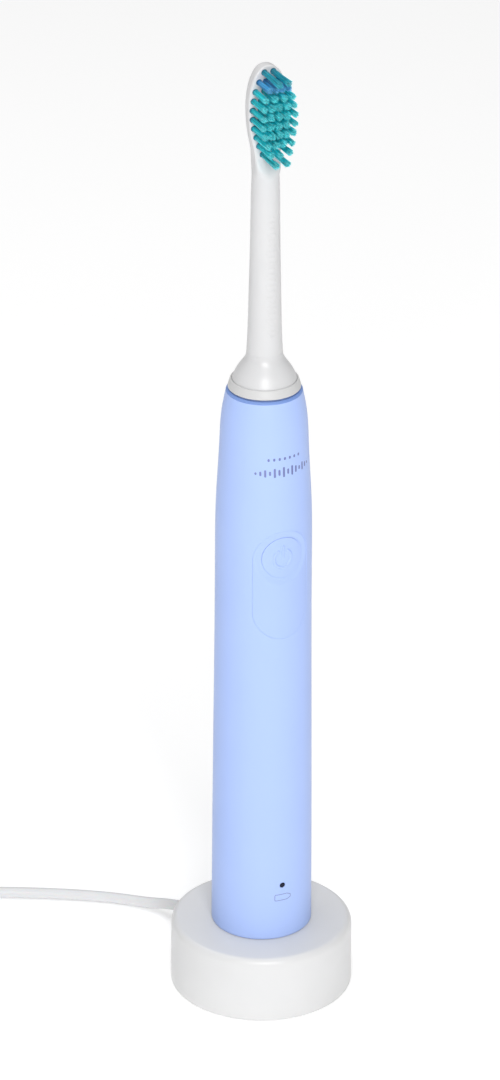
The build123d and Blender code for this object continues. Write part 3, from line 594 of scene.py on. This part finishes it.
def shell_window(spots, rim, inner_rim, centre, outline, start):
    """The skin's edge round an opening. Rings run from the window's rim to the opening's
    outline, over a rounded lip, down its wall and step, and out to the inner skin's rim.
    outline is a list of (reach in a direction, depth); spots are (angle, height) of the rim."""
    angle, height = spots[:, 0], spots[:, 1]
    way = np.arctan2(height - centre, side_radius(height) * angle)

    def ring(reach):
        x, z = reach * np.cos(way), centre + reach * np.sin(way)
        return np.stack([np.arcsin(x / side_radius(z)), z], axis=1)

    rings = []
    first, last = ring(outline[0][0](way)), ring(outline[-1][0](way))
    for share in (0.3, 0.55, 0.75, 0.88, 0.96):
        spot = spots * (1 - share) + first * share
        rings.append(on_skin(spot[:, 0], spot[:, 1], 0.0))
    for reach, depth in outline:
        spot = ring(reach(way))
        rings.append(on_skin(spot[:, 0], spot[:, 1], depth))
    for share in (0.2, 0.5, 0.8):
        spot = last * (1 - share) + spots * share
        rings.append(on_skin(spot[:, 0], spot[:, 1], HANDLE_WALL))
    points = np.concatenate(rings)
    count = len(spots)
    layers = [start + np.arange(i * count, (i + 1) * count) for i in range(len(rings))]
    return points, bridge(rim, layers + [inner_rim])


def lip(reach, radius, steps=4):
    """A rounded edge: the outline drawn in from radius outside reach, as the depth grows."""
    turn = np.linspace(0, math.pi / 2, steps + 1)
    return [(lambda way, a=a: reach(way) + radius * (1 - math.sin(a)), radius * (1 - math.cos(a)))
            for a in turn]


def recess_reach(way):
    """How far the panel's recess reaches from the button's middle: its outline and a small gap."""
    return stadium_reach(way, RECESS_GAP)


def opening_reach(way):
    """The round opening for the button, the same radius in every direction."""
    return BUTTON_OPENING + 0 * way


def lens_reach(way):
    """The round opening for the lamp's window, the same radius in every direction."""
    return LENS_RADIUS + LENS_GAP + 0 * way


front_angles = np.radians(np.arange(-50, 50.01, 2.5))
other_angles = np.radians(np.arange(55, 309.9, 5.0))
angles = np.concatenate([front_angles, other_angles])
panel_rows = np.linspace(104.0, 151.0, 49)
lens_rows = np.linspace(33.2, 38.0, 9)
up_heights = np.concatenate([
    np.linspace(20.2, 31.5, 5), lens_rows, np.linspace(41, 100, 16), panel_rows,
    np.linspace(152.2, 177.6, 22), [178.2, 178.6, SIDE_TOP],
])
down_heights = np.concatenate([
    [177.0, 176.0, 174.0], np.linspace(171, 154, 8), panel_rows[::-1],
    np.linspace(100, 41, 12), lens_rows[::-1], [30.0, 26.0, 22.0],
])
edge_turn = np.linspace(0, math.pi / 2, 7)
edge = 0.55
loop_radius = np.concatenate([
    [side_radius(HANDLE_BOTTOM) - HANDLE_WALL], side_radius(HANDLE_BOTTOM) - edge
    + edge * np.sin(edge_turn), side_radius(up_heights),
    [9.95, 9.8, 9.68], [7.3, 7.06, 7.0], [7.0], [side_radius(177.8) - HANDLE_WALL],
    side_radius(down_heights) - HANDLE_WALL,
])
loop_height = np.concatenate([
    [HANDLE_BOTTOM], HANDLE_BOTTOM + edge - edge * np.cos(edge_turn), up_heights,
    [179.13, 179.28, HANDLE_TOP], [HANDLE_TOP, 179.28, 179.1], [177.8], [177.8], down_heights,
])
rows, columns = len(loop_height), len(angles)
shell_points = np.stack([loop_radius[:, None] * np.sin(angles),
                         -loop_radius[:, None] * np.cos(angles),
                         np.broadcast_to(loop_height[:, None], (rows, columns))], axis=-1)
shell_points = shell_points.reshape(-1, 3)
shell_quads = grid_quads(rows, columns, wrap_rows=True)
quad_row, quad_column = np.divmod(np.arange(rows * columns), columns)
top_row = int(np.argmax(loop_height))
kept = np.ones(len(shell_quads), bool)
extra_points, extra_quads = [], []
start = len(shell_points)
windows = [
    # the panel's recess, then the button's opening through the wall, across every front column
    (panel_rows, np.arange(len(front_angles)), BUTTON_HEIGHT,
     lip(recess_reach, 0.06)
     + [(recess_reach, RECESS_DEPTH), (opening_reach, RECESS_DEPTH),
        (opening_reach, HANDLE_WALL)]),
    # the lamp's opening, across the nine columns nearest the middle
    (lens_rows, np.arange(16, 25), LENS_HEIGHT,
     lip(lens_reach, 0.08) + [(lens_reach, HANDLE_WALL)]),
]
for heights, across, centre, outline in windows:
    outer = np.array([int(np.argmin(np.abs(loop_height[:top_row] - h))) for h in heights])
    inner = top_row + np.array([int(np.argmin(np.abs(loop_height[top_row:] - h)))
                                for h in heights])
    rims = []
    for level in (outer, inner):
        rims.append(np.concatenate([
            level[0] * columns + across[:-1], level[:-1] * columns + across[-1],
            level[-1] * columns + across[:0:-1], level[:0:-1] * columns + across[0]]))
        low_row, high_row = min(level[0], level[-1]), max(level[0], level[-1])
        kept &= ~((quad_row >= low_row) & (quad_row < high_row)
                  & (quad_column >= across[0]) & (quad_column < across[-1]))
    spots = np.stack([angles[rims[0] % columns], loop_height[rims[0] // columns]], axis=1)
    points, quads = shell_window(spots, rims[0], rims[1], centre, outline, start)
    extra_points.append(points)
    extra_quads.append(quads)
    start += len(points)
piece_of("handle_shell", np.vstack([shell_points] + extra_points),
         np.vstack([shell_quads[kept]] + extra_quads), finishes["handle_shell"], "handle",
         "handle_shell", ["handle_housing"], sharp=45)


# The seat under the brush head's ring: a deeper blue band over the shell's top edge, painted shade
# where the ring's shadow falls.
seat = rounded([(10.12, 178.6), (10.2, 178.8), (10.16, 178.98, 0.1), (9.68, 179.42, 0.12),
                (9.2, 179.42), (9.2, 179.2), (9.6, 179.2)], steps=4)
piece_of("ring_seat", *turned(seat, 192), ring_shade_blue, "handle", "handle_shell")


def round_panel(rings, ways):
    """A set-in piece's skin: rings of (reach in a direction, depth) round the button's middle."""
    points = []
    for reach, depth in rings:
        far = reach(ways) if callable(reach) else reach + 0 * ways
        sunk = depth(far, ways) if callable(depth) else depth
        points.append(from_front(far * np.cos(ways), BUTTON_HEIGHT + far * np.sin(ways), sunk))
    return np.array(points)


# The soft panel: a stadium with a hole for the button. Its face dips a little in a circle
# round the button, and both its edges are rounded over.
DISH_EDGE = 7.8
PANEL_EDGE = 0.06
PANEL_BACK = 1.0
ROUND_RINGS_TO = 7.6    # the last ring that is a circle; from there they ease to the outline
HOLE_EDGE = 0.07
panel_ways = np.radians(np.arange(0, 360, 1.25))
hole_radius = BUTTON_RADIUS + 0.04


def panel_depth(reach, ways):
    """How far the panel's face lies under the handle's skin: 0.02, and 0.42 more in the dish."""
    return 0.02 + 0.42 * (1 - eased(reach, DISH_EDGE - 1.7, DISH_EDGE))


def dished(sunk):
    """The panel's face depth plus sunk."""
    return lambda reach, ways: panel_depth(reach, ways) + sunk


edge_steps = np.linspace(0, math.pi / 2, 5)
panel_rings = [(hole_radius, PANEL_BACK), (hole_radius, 0.6)]
panel_rings += [(hole_radius + HOLE_EDGE * (1 - math.cos(a)),
                 dished(HOLE_EDGE * (1 - math.sin(a)))) for a in edge_steps]
panel_rings += [(r, dished(0)) for r in np.linspace(hole_radius + 0.15, ROUND_RINGS_TO, 16)]
panel_rings += [(lambda ways, s=s: (ROUND_RINGS_TO * (1 - s)
                                    + s * (stadium_reach(ways, 0.0) - PANEL_EDGE)), dished(0))
                for s in (0.05, 0.12, 0.2, 0.3, 0.45, 0.6, 0.75, 0.88, 0.96, 1.0)]
panel_rings += [(lambda ways, a=a: stadium_reach(ways, 0.0) - PANEL_EDGE * (1 - math.sin(a)),
                 dished(PANEL_EDGE * (1 - math.cos(a)))) for a in edge_steps[1:]]
panel_rings += [(lambda ways: stadium_reach(ways, 0.0), 0.6),
                (lambda ways: stadium_reach(ways, 0.0), PANEL_BACK)]
panel_skin = round_panel(panel_rings, panel_ways)
piece_of("soft_panel", panel_skin, grid_quads(len(panel_skin), len(panel_ways), wrap_rows=True),
         finishes["soft_panel"], "handle", "soft_panel", ["button_panel"], sharp=60)

# The button: a shallow finger dish with the on-off sign raised on it.
SIGN_RADIUS = 2.6
SIGN_DROP = -0.35
SIGN_STROKE = 0.34
SIGN_RISE = 0.27
BUTTON_SUNK = 0.36
BUTTON_DISH = 0.34
BUTTON_EDGE = 0.09
button_ways = np.radians(np.arange(0, 360, 1.25))


def sign_distance(x, z):
    """Distance from the on-off sign's lines: an open ring with a gap of 33 degrees each side of
    its top, and an upright bar through the gap."""
    angle = np.arctan2(x, z - SIGN_DROP)
    gap = math.radians(33)
    off_ring = np.abs(np.hypot(x, z - SIGN_DROP) - SIGN_RADIUS)
    end_x, end_z = SIGN_RADIUS * math.sin(gap), SIGN_DROP + SIGN_RADIUS * math.cos(gap)
    ring = np.where(np.abs(angle) > gap, off_ring, np.hypot(np.abs(x) - end_x, z - end_z))
    bar = np.hypot(x, z - np.clip(z, 0.0, 3.2))
    return np.minimum(ring, bar)


def button_depth(reach, ways):
    """The button's face: sunk, deeper towards its middle by the square of the way in, and less
    deep by SIGN_RISE where the sign stands up."""
    raised = 1 - eased(sign_distance(reach * np.cos(ways), reach * np.sin(ways)),
                       SIGN_STROKE - 0.10, SIGN_STROKE + 0.12)
    return BUTTON_SUNK + BUTTON_DISH * (1 - (reach / BUTTON_RADIUS) ** 2) - SIGN_RISE * raised


button_rings = [(0.0, 1.0), (3.0, 1.0), (BUTTON_RADIUS - 0.1, 1.0), (BUTTON_RADIUS, 0.85)]
button_rings += [(BUTTON_RADIUS - BUTTON_EDGE * (1 - math.cos(a)),
                  BUTTON_SUNK + BUTTON_EDGE * (1 - math.sin(a)))
                 for a in np.linspace(0, math.pi / 2, 6)]
button_rings += [(r, button_depth) for r in np.arange(BUTTON_RADIUS - 0.18, 0.05, -0.11)]
button_rings.append((0.0, button_depth))
button_skin = round_panel(button_rings, button_ways)
piece_of("button_cap", button_skin, grid_quads(len(button_skin), len(button_ways)),
         finishes["soft_button"], "button", "soft_button", ["power_button"], sharp=60)

# The lamp's window: a small domed disc, its edge just under the handle's skin.
lens_ways = np.radians(np.arange(0, 360, 7.5))
lens_rings = [(0.0, 1.3), (LENS_RADIUS, 1.3), (LENS_RADIUS, 0.14), (LENS_RADIUS - 0.04, 0.07),
              (0.62, 0.03), (0.45, 0.0), (0.22, -0.02), (0.0, -0.03)]
lens_skin = np.array([
    from_front(reach * np.cos(lens_ways), LENS_HEIGHT + reach * np.sin(lens_ways), depth)
    for reach, depth in lens_rings])
piece_of("lamp_window", lens_skin, grid_quads(len(lens_skin), len(lens_ways)),
         finishes["smoked_lens"], "handle", "smoked_lens", ["indicator_lens"], sharp=50)


# ---------------------------------------------------------------- printed signs
INK_PROUD = 0.012
INK_FOOT = -0.06


def ink_line(path, stroke):
    """A closed printed line on the handle: the path's points moved half a stroke to each side
    along its normal in the front view, then laid on the skin, proud of it by INK_PROUD."""
    path = np.asarray(path, float)
    ahead = np.roll(path, -1, axis=0) - np.roll(path, 1, axis=0)
    normal = np.stack([-ahead[:, 1], ahead[:, 0]], axis=1)
    normal /= np.linalg.norm(normal, axis=1)[:, None]
    section = [(-0.5, INK_FOOT), (-0.5, INK_PROUD), (0.5, INK_PROUD), (0.5, INK_FOOT)]
    points = np.array([on_skin((path[:, 0] + normal[:, 0] * stroke * a) / side_radius(path[:, 1]),
                               path[:, 1] + normal[:, 1] * stroke * a, -h) for a, h in section])
    return points.reshape(-1, 3), grid_quads(len(section), len(path), wrap_rows=True)


def evenly(path, step):
    """A closed path again, with a point about every step along it."""
    closed = np.vstack([path, path[:1]])
    gone = np.r_[0, np.cumsum(np.linalg.norm(np.diff(closed, axis=0), axis=1))]
    at = np.linspace(0, gone[-1], int(gone[-1] / step), endpoint=False)
    return np.stack([np.interp(at, gone, closed[:, i]) for i in (0, 1)], axis=1)


battery_sign = rounded([
    (0, 0.9), (1.25, 0.9, 0.35), (2.35, 0.42, 0.25), (2.35, -0.42, 0.25), (1.25, -0.9, 0.35),
    (-2.3, -0.9, 0.3), (-2.3, 0.9, 0.3), (-1e-3, 0.9),
], steps=6) + [0.1, 31.9]
piece_of("battery_sign", *ink_line(evenly(battery_sign, 0.12), 0.24), line_ink, "handle",
         "handle_shell")


def ink_bar(x, low, high, width):
    """A printed upright bar with round ends, as the outline of a stadium filled from its middle."""
    turn = np.radians(np.arange(0, 180.1, 22.5))
    rim = np.concatenate([
        np.stack([x + width / 2 * np.cos(turn), high - width / 2 + width / 2 * np.sin(turn)], 1),
        np.stack([x - width / 2 * np.cos(turn), low + width / 2 - width / 2 * np.sin(turn)], 1)])
    middle = np.array([x, (low + high) / 2])
    rings = [(middle + (rim - middle) * share, proud)
             for share, proud in ((0.0, INK_PROUD), (0.6, INK_PROUD), (1.0, INK_PROUD),
                                  (1.0, INK_FOOT), (0.0, INK_FOOT))]
    points = np.array([on_skin(ring[:, 0] / side_radius(ring[:, 1]), ring[:, 1], -proud)
                       for ring, proud in rings])
    return points.reshape(-1, 3), grid_quads(len(rings), len(rim))


# A sound-wave of upright bars with a row of dots over it, in place of lettering.
wave_heights = [0.7, 1.3, 2.1, 1.2, 2.6, 1.7, 2.9, 1.5, 2.7, 1.9, 1.1, 2.3, 1.4, 0.8]
WAVE_HEIGHT = 159.8
DOTS_HEIGHT = 163.6
DOT_HALF = 0.42
wave_places = 0.9 + 1.28 * (np.arange(len(wave_heights)) - (len(wave_heights) - 1) / 2)
wave = [ink_bar(x, WAVE_HEIGHT - h / 2, WAVE_HEIGHT + h / 2, 0.58)
        for x, h in zip(wave_places, wave_heights)]
dots = [ink_bar(0.6 + 1.5 * i, DOTS_HEIGHT - DOT_HALF, DOTS_HEIGHT + DOT_HALF, 0.62)
        for i in range(-3, 4)]
piece_of("wave_sign", *joined(wave + dots), print_ink, "handle", "handle_shell")

# ---------------------------------------------------------------- brush head
ring_profile = rounded([
    (8.4, 179.9), (9.72, 179.9, 0.12), (9.62, 180.4, 0.4), (9.12, 182.0, 0.2),
    (8.95, 182.24, 0.1), (8.72, 182.24, 0.05), (8.72, 181.8), (5.3, 181.8), (5.3, 180.8),
    (8.4, 180.8), (8.4, 179.9),
], steps=6)
piece_of("head_ring", *turned(ring_profile, 192), finishes["ring_plastic"], "brush_head",
         "ring_plastic", ["brush_ring"])

dome_heights = np.linspace(182.4, 189.9, 42)
dome_radii = smooth_through([182.4, 183.55, 184.9, 186.5, 187.9, 188.9, 189.9],
                            [8.56, 8.08, 7.38, 6.3, 5.36, 4.94, 4.84], dome_heights)
dome_profile = np.vstack([
    [(4.6, 181.9), (8.6, 181.9)],
    np.stack([dome_radii, dome_heights], axis=1),
    [(4.6, 189.9)],
])
piece_of("head_collar", *turned(dome_profile, 192), finishes["brush_plastic"], "brush_head",
         "brush_plastic", ["brush_collar"], sharp=50)

PLATE_FRONT = -1.6
PLATE_BACK = 2.2
HEAD_TOP = 270.4
WIDEST = 258.9
WIDEST_HALF = 5.5
NECK_BOTTOM = 180.2
NECK_EDGE = 0.3
TIP_ROUND = 0.45
BACK_ROUND = 1.5
MARKS = [0.8, 1.2, 0.9, 1.4, 1.0, 1.6, 1.1, 1.5, 0.9, 1.7, 1.2, 1.4, 0.8, 1.3, 1.0, 1.5, 1.1, 0.9,
         1.3, 0.8, 1.1, 0.7]
MARKS_FROM = 195.5
MARKS_APART = 1.6


def neck_half_width(height):
    """Half the head's width: the neck's taper, then the plate's sides out to the widest place,
    then a curve |x/5.5|^2.2 + |z/11.5|^2.2 = 1 over the tip."""
    below = smooth_through(
        [NECK_BOTTOM, 188.8, 193.0, 205.0, 225.0, 238.0, 243.5, 246.5, 251.5, 255.5, WIDEST,
         WIDEST + 3],
        [4.85, 4.85, 4.64, 4.3, 3.89, 3.68, 3.56, 3.76, 4.85, 5.36, WIDEST_HALF, 5.42], height)
    over = np.clip((height - WIDEST) / (HEAD_TOP - WIDEST), 0, 1)
    return np.where(height <= WIDEST, below, WIDEST_HALF * (1 - over ** 2.2) ** (1 / 2.2))


def neck_front(height):
    """How far the front stands out: round on the neck, then a slant down to the flat plate, and
    a small round-over at the tip."""
    neck = neck_half_width(np.minimum(height, 240.5))
    slant = eased(height, 239.4, 245.6)
    tip = np.clip((height - (HEAD_TOP - TIP_ROUND)) / TIP_ROUND, 0, 1)
    return neck * (1 - slant) - PLATE_FRONT * slant - TIP_ROUND * (1 - np.sqrt(1 - tip ** 2))


def neck_back(height):
    """How far the back stands out: round on the neck, easing to the thin plate and its tip."""
    neck = neck_half_width(np.minimum(height, 243.0))
    thin = eased(height, 240.0, 252.5)
    tip = np.clip((height - (HEAD_TOP - BACK_ROUND)) / BACK_ROUND, 0, 1)
    return neck * (1 - thin) + PLATE_BACK * thin - 1.3 * (1 - np.sqrt(1 - tip ** 2))


def raised_marks(height, angle):
    """How far the row of small bars on the neck's front stands up: 0.09 within each bar. The
    bars are about 0.8 high at their foot, MARKS_APART apart, and MARKS are their half lengths."""
    place = (height - MARKS_FROM) / MARKS_APART
    number = np.clip(np.round(place).astype(int), 0, len(MARKS) - 1)
    over = np.abs(place - number) * MARKS_APART
    across = np.abs(angle) * np.interp(height, [193, 238], [4.64, 3.68])
    inside = np.hypot(np.maximum(across - (np.array(MARKS)[number] - 0.3), 0), over)
    return 0.09 * (1 - eased(inside, 0.22, 0.42))


tip_share = np.sin(np.linspace(0, math.pi / 2, 46))
neck_heights = np.concatenate([
    NECK_BOTTOM + NECK_EDGE * (1 - np.cos(np.linspace(0, math.pi / 2, 5))),
    np.linspace(181, 188, 8), np.linspace(189, 194, 6), np.linspace(194.5, 230.5, 181),
    np.linspace(231.5, 236, 6), np.linspace(236.5, WIDEST, 70),
    WIDEST + (HEAD_TOP - WIDEST) * tip_share[1:],
])
section_turn = np.linspace(0, 2 * math.pi, 168, endpoint=False)
width, front, back = (f(neck_heights)[:, None] for f in (neck_half_width, neck_front, neck_back))
edge_share = np.clip((NECK_BOTTOM + NECK_EDGE - neck_heights) / NECK_EDGE, 0, 1)
edge_in = NECK_EDGE * (1 - np.sqrt(1 - edge_share ** 2))
width = np.maximum(width - edge_in[:, None], 1e-4)
depth = np.where(np.sin(section_turn) < 0, front, back) - edge_in[:, None]
flatness = eased(neck_heights, 239.6, 245.4)[:, None]
power = np.where(np.sin(section_turn) < 0, 2 + 6.5 * flatness, 2 + 1.3 * flatness)
reach = (np.abs(np.cos(section_turn) / width) ** power
         + np.abs(np.sin(section_turn) / depth) ** power) ** (-1 / power)
from_front_angle = (section_turn - math.pi / 2) % (2 * math.pi) - math.pi
reach = reach + raised_marks(neck_heights[:, None], from_front_angle[None])
neck_skin = np.stack([reach * np.cos(section_turn), reach * np.sin(section_turn),
                      np.broadcast_to(neck_heights[:, None], reach.shape)], axis=-1)
bore = np.array([(0.0, 203.0), (2.8, 203.0), (3.0, 202.8), (3.0, NECK_BOTTOM + 0.2),
                 (3.2, NECK_BOTTOM)])
bore_skin = np.stack([bore[:, :1] * np.cos(section_turn), bore[:, :1] * np.sin(section_turn),
                      np.broadcast_to(bore[:, 1:], (len(bore), len(section_turn)))], axis=-1)
neck_skin = np.vstack([bore_skin, neck_skin])
piece_of("head_neck", neck_skin, grid_quads(len(neck_skin), len(section_turn)),
         finishes["brush_plastic"], "brush_head", "brush_plastic", ["brush_neck"], sharp=60)

# ---------------------------------------------------------------- tufts
TUFT_RADIUS = 0.75
TUFT_PITCH = 2.5
FIRST_ROW = 268.7
tuft_rows = [
    # half width of the row, tufts across it, tuft length; from the tip down
    (1.25, 2, 10.5), (2.7, 4, 7.5), (3.7, 4, 7.5), (4.2, 5, 7.5), (4.45, 5, 7.6),
    (4.4, 5, 7.6), (4.05, 5, 7.6), (3.4, 4, 8.0), (2.6, 3, 8.6), (1.6, 2, 9.4),
]
FILAMENTS = 52
FILAMENT_RADIUS = 0.098
FILAMENT_SIDES = 5


def tuft_spots(chosen, least=0.0, most=99.0):
    """The chosen rows' tufts as x, z and length."""
    spots = []
    for row in chosen:
        half, count, length = tuft_rows[row]
        xs = half * np.linspace(-1, 1, count)
        spots += [(x, FIRST_ROW - TUFT_PITCH * row, length) for x in xs if least <= abs(x) <= most]
    return np.array(spots)


def filaments(spots, flare):
    """Every filament of some tufts. A tuft's filaments stand on a sunflower spiral, each moved
    and leaned a little at random and outwards by flare times its place; each is a five-sided
    tube of five rings, its tip drawn in, and outer filaments are shorter, so the end is domed."""
    tufts = len(spots)
    order = np.arange(FILAMENTS) + 0.5
    out = np.sqrt(order / FILAMENTS)[None] * (TUFT_RADIUS - FILAMENT_RADIUS)
    spin = order * math.radians(137.508) + rng.uniform(0, 6.28, (tufts, 1))
    foot_x = spots[:, :1] + out * np.cos(spin) + rng.normal(0, 0.02, (tufts, FILAMENTS))
    foot_z = spots[:, 1:2] + out * np.sin(spin) + rng.normal(0, 0.02, (tufts, FILAMENTS))
    length = (spots[:, 2:] - 0.5 * (out / TUFT_RADIUS) ** 2
              - rng.uniform(0, 0.3, (tufts, FILAMENTS)))
    lean_x = flare * out * np.cos(spin) + rng.normal(0, 0.09, (tufts, FILAMENTS))
    lean_z = flare * out * np.sin(spin) + rng.normal(0, 0.09, (tufts, FILAMENTS))
    lean_x = lean_x + rng.normal(0, 0.08, (tufts, 1))
    lean_z = lean_z + rng.normal(0, 0.08, (tufts, 1))
    share = np.array([0.0, 0.45, 0.8, 0.965, 1.0])
    girth = np.array([1.0, 1.0, 1.0, 0.85, 0.25])
    turn = np.linspace(0, 2 * math.pi, FILAMENT_SIDES, endpoint=False)
    along = share[None, None, :, None]
    bend = along ** 1.6
    x = (foot_x[..., None, None] + lean_x[..., None, None] * bend
         + FILAMENT_RADIUS * girth[:, None] * np.cos(turn))
    z = (foot_z[..., None, None] + lean_z[..., None, None] * bend
         + FILAMENT_RADIUS * girth[:, None] * np.sin(turn))
    y = PLATE_FRONT + 0.3 - (length[..., None, None] + 0.3) * along + 0 * x
    points = np.stack([x, y, z], axis=-1).reshape(-1, 3)
    rings = len(share)
    quads = grid_quads(rings, FILAMENT_SIDES)
    count = tufts * FILAMENTS
    quads = (quads[None] + rings * FILAMENT_SIDES * np.arange(count)[:, None, None]).reshape(-1, 4)
    number = np.repeat(rng.uniform(0, 1, count), rings * FILAMENT_SIDES)
    way = np.tile(np.repeat(share, FILAMENT_SIDES), count)
    tips = ((rings - 1) * FILAMENT_SIDES + np.arange(FILAMENT_SIDES)[None]
            + rings * FILAMENT_SIDES * np.arange(count)[:, None])
    return points, quads, tips, number, way


def tuft_piece(name, spots, finish, replaced, flare=0.28):
    """A group of tufts as one piece, with the UV map that its finish reads."""
    points, quads, tips, number, way = filaments(spots, flare)
    mesh = bpy.data.meshes.new(name)
    mesh.from_pydata((points * MM).tolist(), [], quads.tolist() + tips.tolist())
    corners = np.zeros(len(mesh.loops), np.int32)
    mesh.loops.foreach_get("vertex_index", corners)
    layer = mesh.uv_layers.new(name="filament")
    layer.data.foreach_set("uv", np.stack([number[corners], way[corners]], 1).ravel())
    return finished(mesh, finish, "brush_head", [replaced], sharp=80)


# Painted shadow at the rim of each tuft's hole: a thin dark disc on the plate, a little wider than
# the tuft.
HOLE_RIM = 0.86
RIM_SIDES = 20
every_tuft = tuft_spots(range(len(tuft_rows)))
rim_turn = np.linspace(0, 2 * math.pi, RIM_SIDES, endpoint=False)
rim_reach = np.array([0.0, HOLE_RIM, HOLE_RIM, 0.0])[:, None]
rim_out = np.array([0.012, 0.012, -0.3, -0.3])[:, None]
rim_points = np.stack([
    every_tuft[:, 0, None, None] + rim_reach * np.cos(rim_turn),
    np.broadcast_to(PLATE_FRONT - rim_out, (len(every_tuft), len(rim_out), RIM_SIDES)),
    every_tuft[:, 1, None, None] + rim_reach * np.sin(rim_turn)], axis=-1)
rim_starts = len(rim_out) * RIM_SIDES * np.arange(len(every_tuft))
rim_quads = grid_quads(len(rim_out), RIM_SIDES)[None] + rim_starts[:, None, None]
piece_of("painted_tuft_hole_shadows", rim_points, rim_quads.reshape(-1, 4), hole_shadow, "brush_head",
         "brush_plastic")

MIDDLE_ROWS = range(2, 8)
tuft_piece("tip_tufts", tuft_spots([0]), deep_teal, "tufts_tip")
tuft_piece("blue_tufts", tuft_spots([1]), finishes["blue_bristle"], "tufts_blue")
tuft_piece("side_tufts", tuft_spots(MIDDLE_ROWS, least=3.0), finishes["teal_bristle"],
           "tufts_side")
tuft_piece("middle_tufts", tuft_spots(MIDDLE_ROWS, most=2.99), finishes["teal_bristle"],
           "tufts_middle", flare=0.62)
tuft_piece("heel_tufts", tuft_spots([8, 9]), finishes["teal_bristle"],
           "tufts_heel")

# ---------------------------------------------------------------- floor and light
scene.view_settings.view_transform = "Standard"
scene.view_settings.look = "None"

world = bpy.data.worlds.new("studio")
scene.world = world
world.use_nodes = True
world.node_tree.nodes["Background"].inputs["Color"].default_value = (1, 1, 1, 1)
world.node_tree.nodes["Background"].inputs["Strength"].default_value = 0.24

# matt white studio paper, lit a little from within so that it stays the palest thing in view
studio_paper = moulded("white_studio_paper", "FBFBFB", "F9F9F9", 0.85, 4.0, 0.01, cloud=200.0,
                       **{"Emission Color": (1, 1, 1, 1), "Emission Strength": 0.17,
                          "Specular IOR Level": 0.1})
floor_mesh = bpy.data.meshes.new("floor")
floor_mesh.from_pydata([(-5, -4, -1e-4), (5, -4, -1e-4), (5, 7, -1e-4), (-5, 7, -1e-4)], [],
                       [(0, 1, 2, 3)])
floor_mesh.materials.append(studio_paper)
floor = bpy.data.objects.new("floor", floor_mesh)
scene.collection.objects.link(floor)


def softbox(name, azimuth, elevation, distance, size, watts):
    """A square area light aimed at the brush's middle, placed by azimuth from the front."""
    a, e = math.radians(azimuth), math.radians(elevation)
    away = Vector((math.sin(a) * math.cos(e), -math.cos(a) * math.cos(e), math.sin(e)))
    lamp = bpy.data.objects.new(name, bpy.data.lights.new(name, "AREA"))
    lamp.data.shape = "SQUARE"
    lamp.data.size = size
    lamp.data.energy = watts
    lamp.location = Vector((0, 0, 0.13)) + away * distance
    lamp.rotation_euler = away.to_track_quat("Z", "Y").to_euler()
    scene.collection.objects.link(lamp)


softbox("front_box", azimuth=-20, elevation=28, distance=1.6, size=0.7, watts=17.5)
softbox("top_box", azimuth=180, elevation=76, distance=1.6, size=1.9, watts=19)
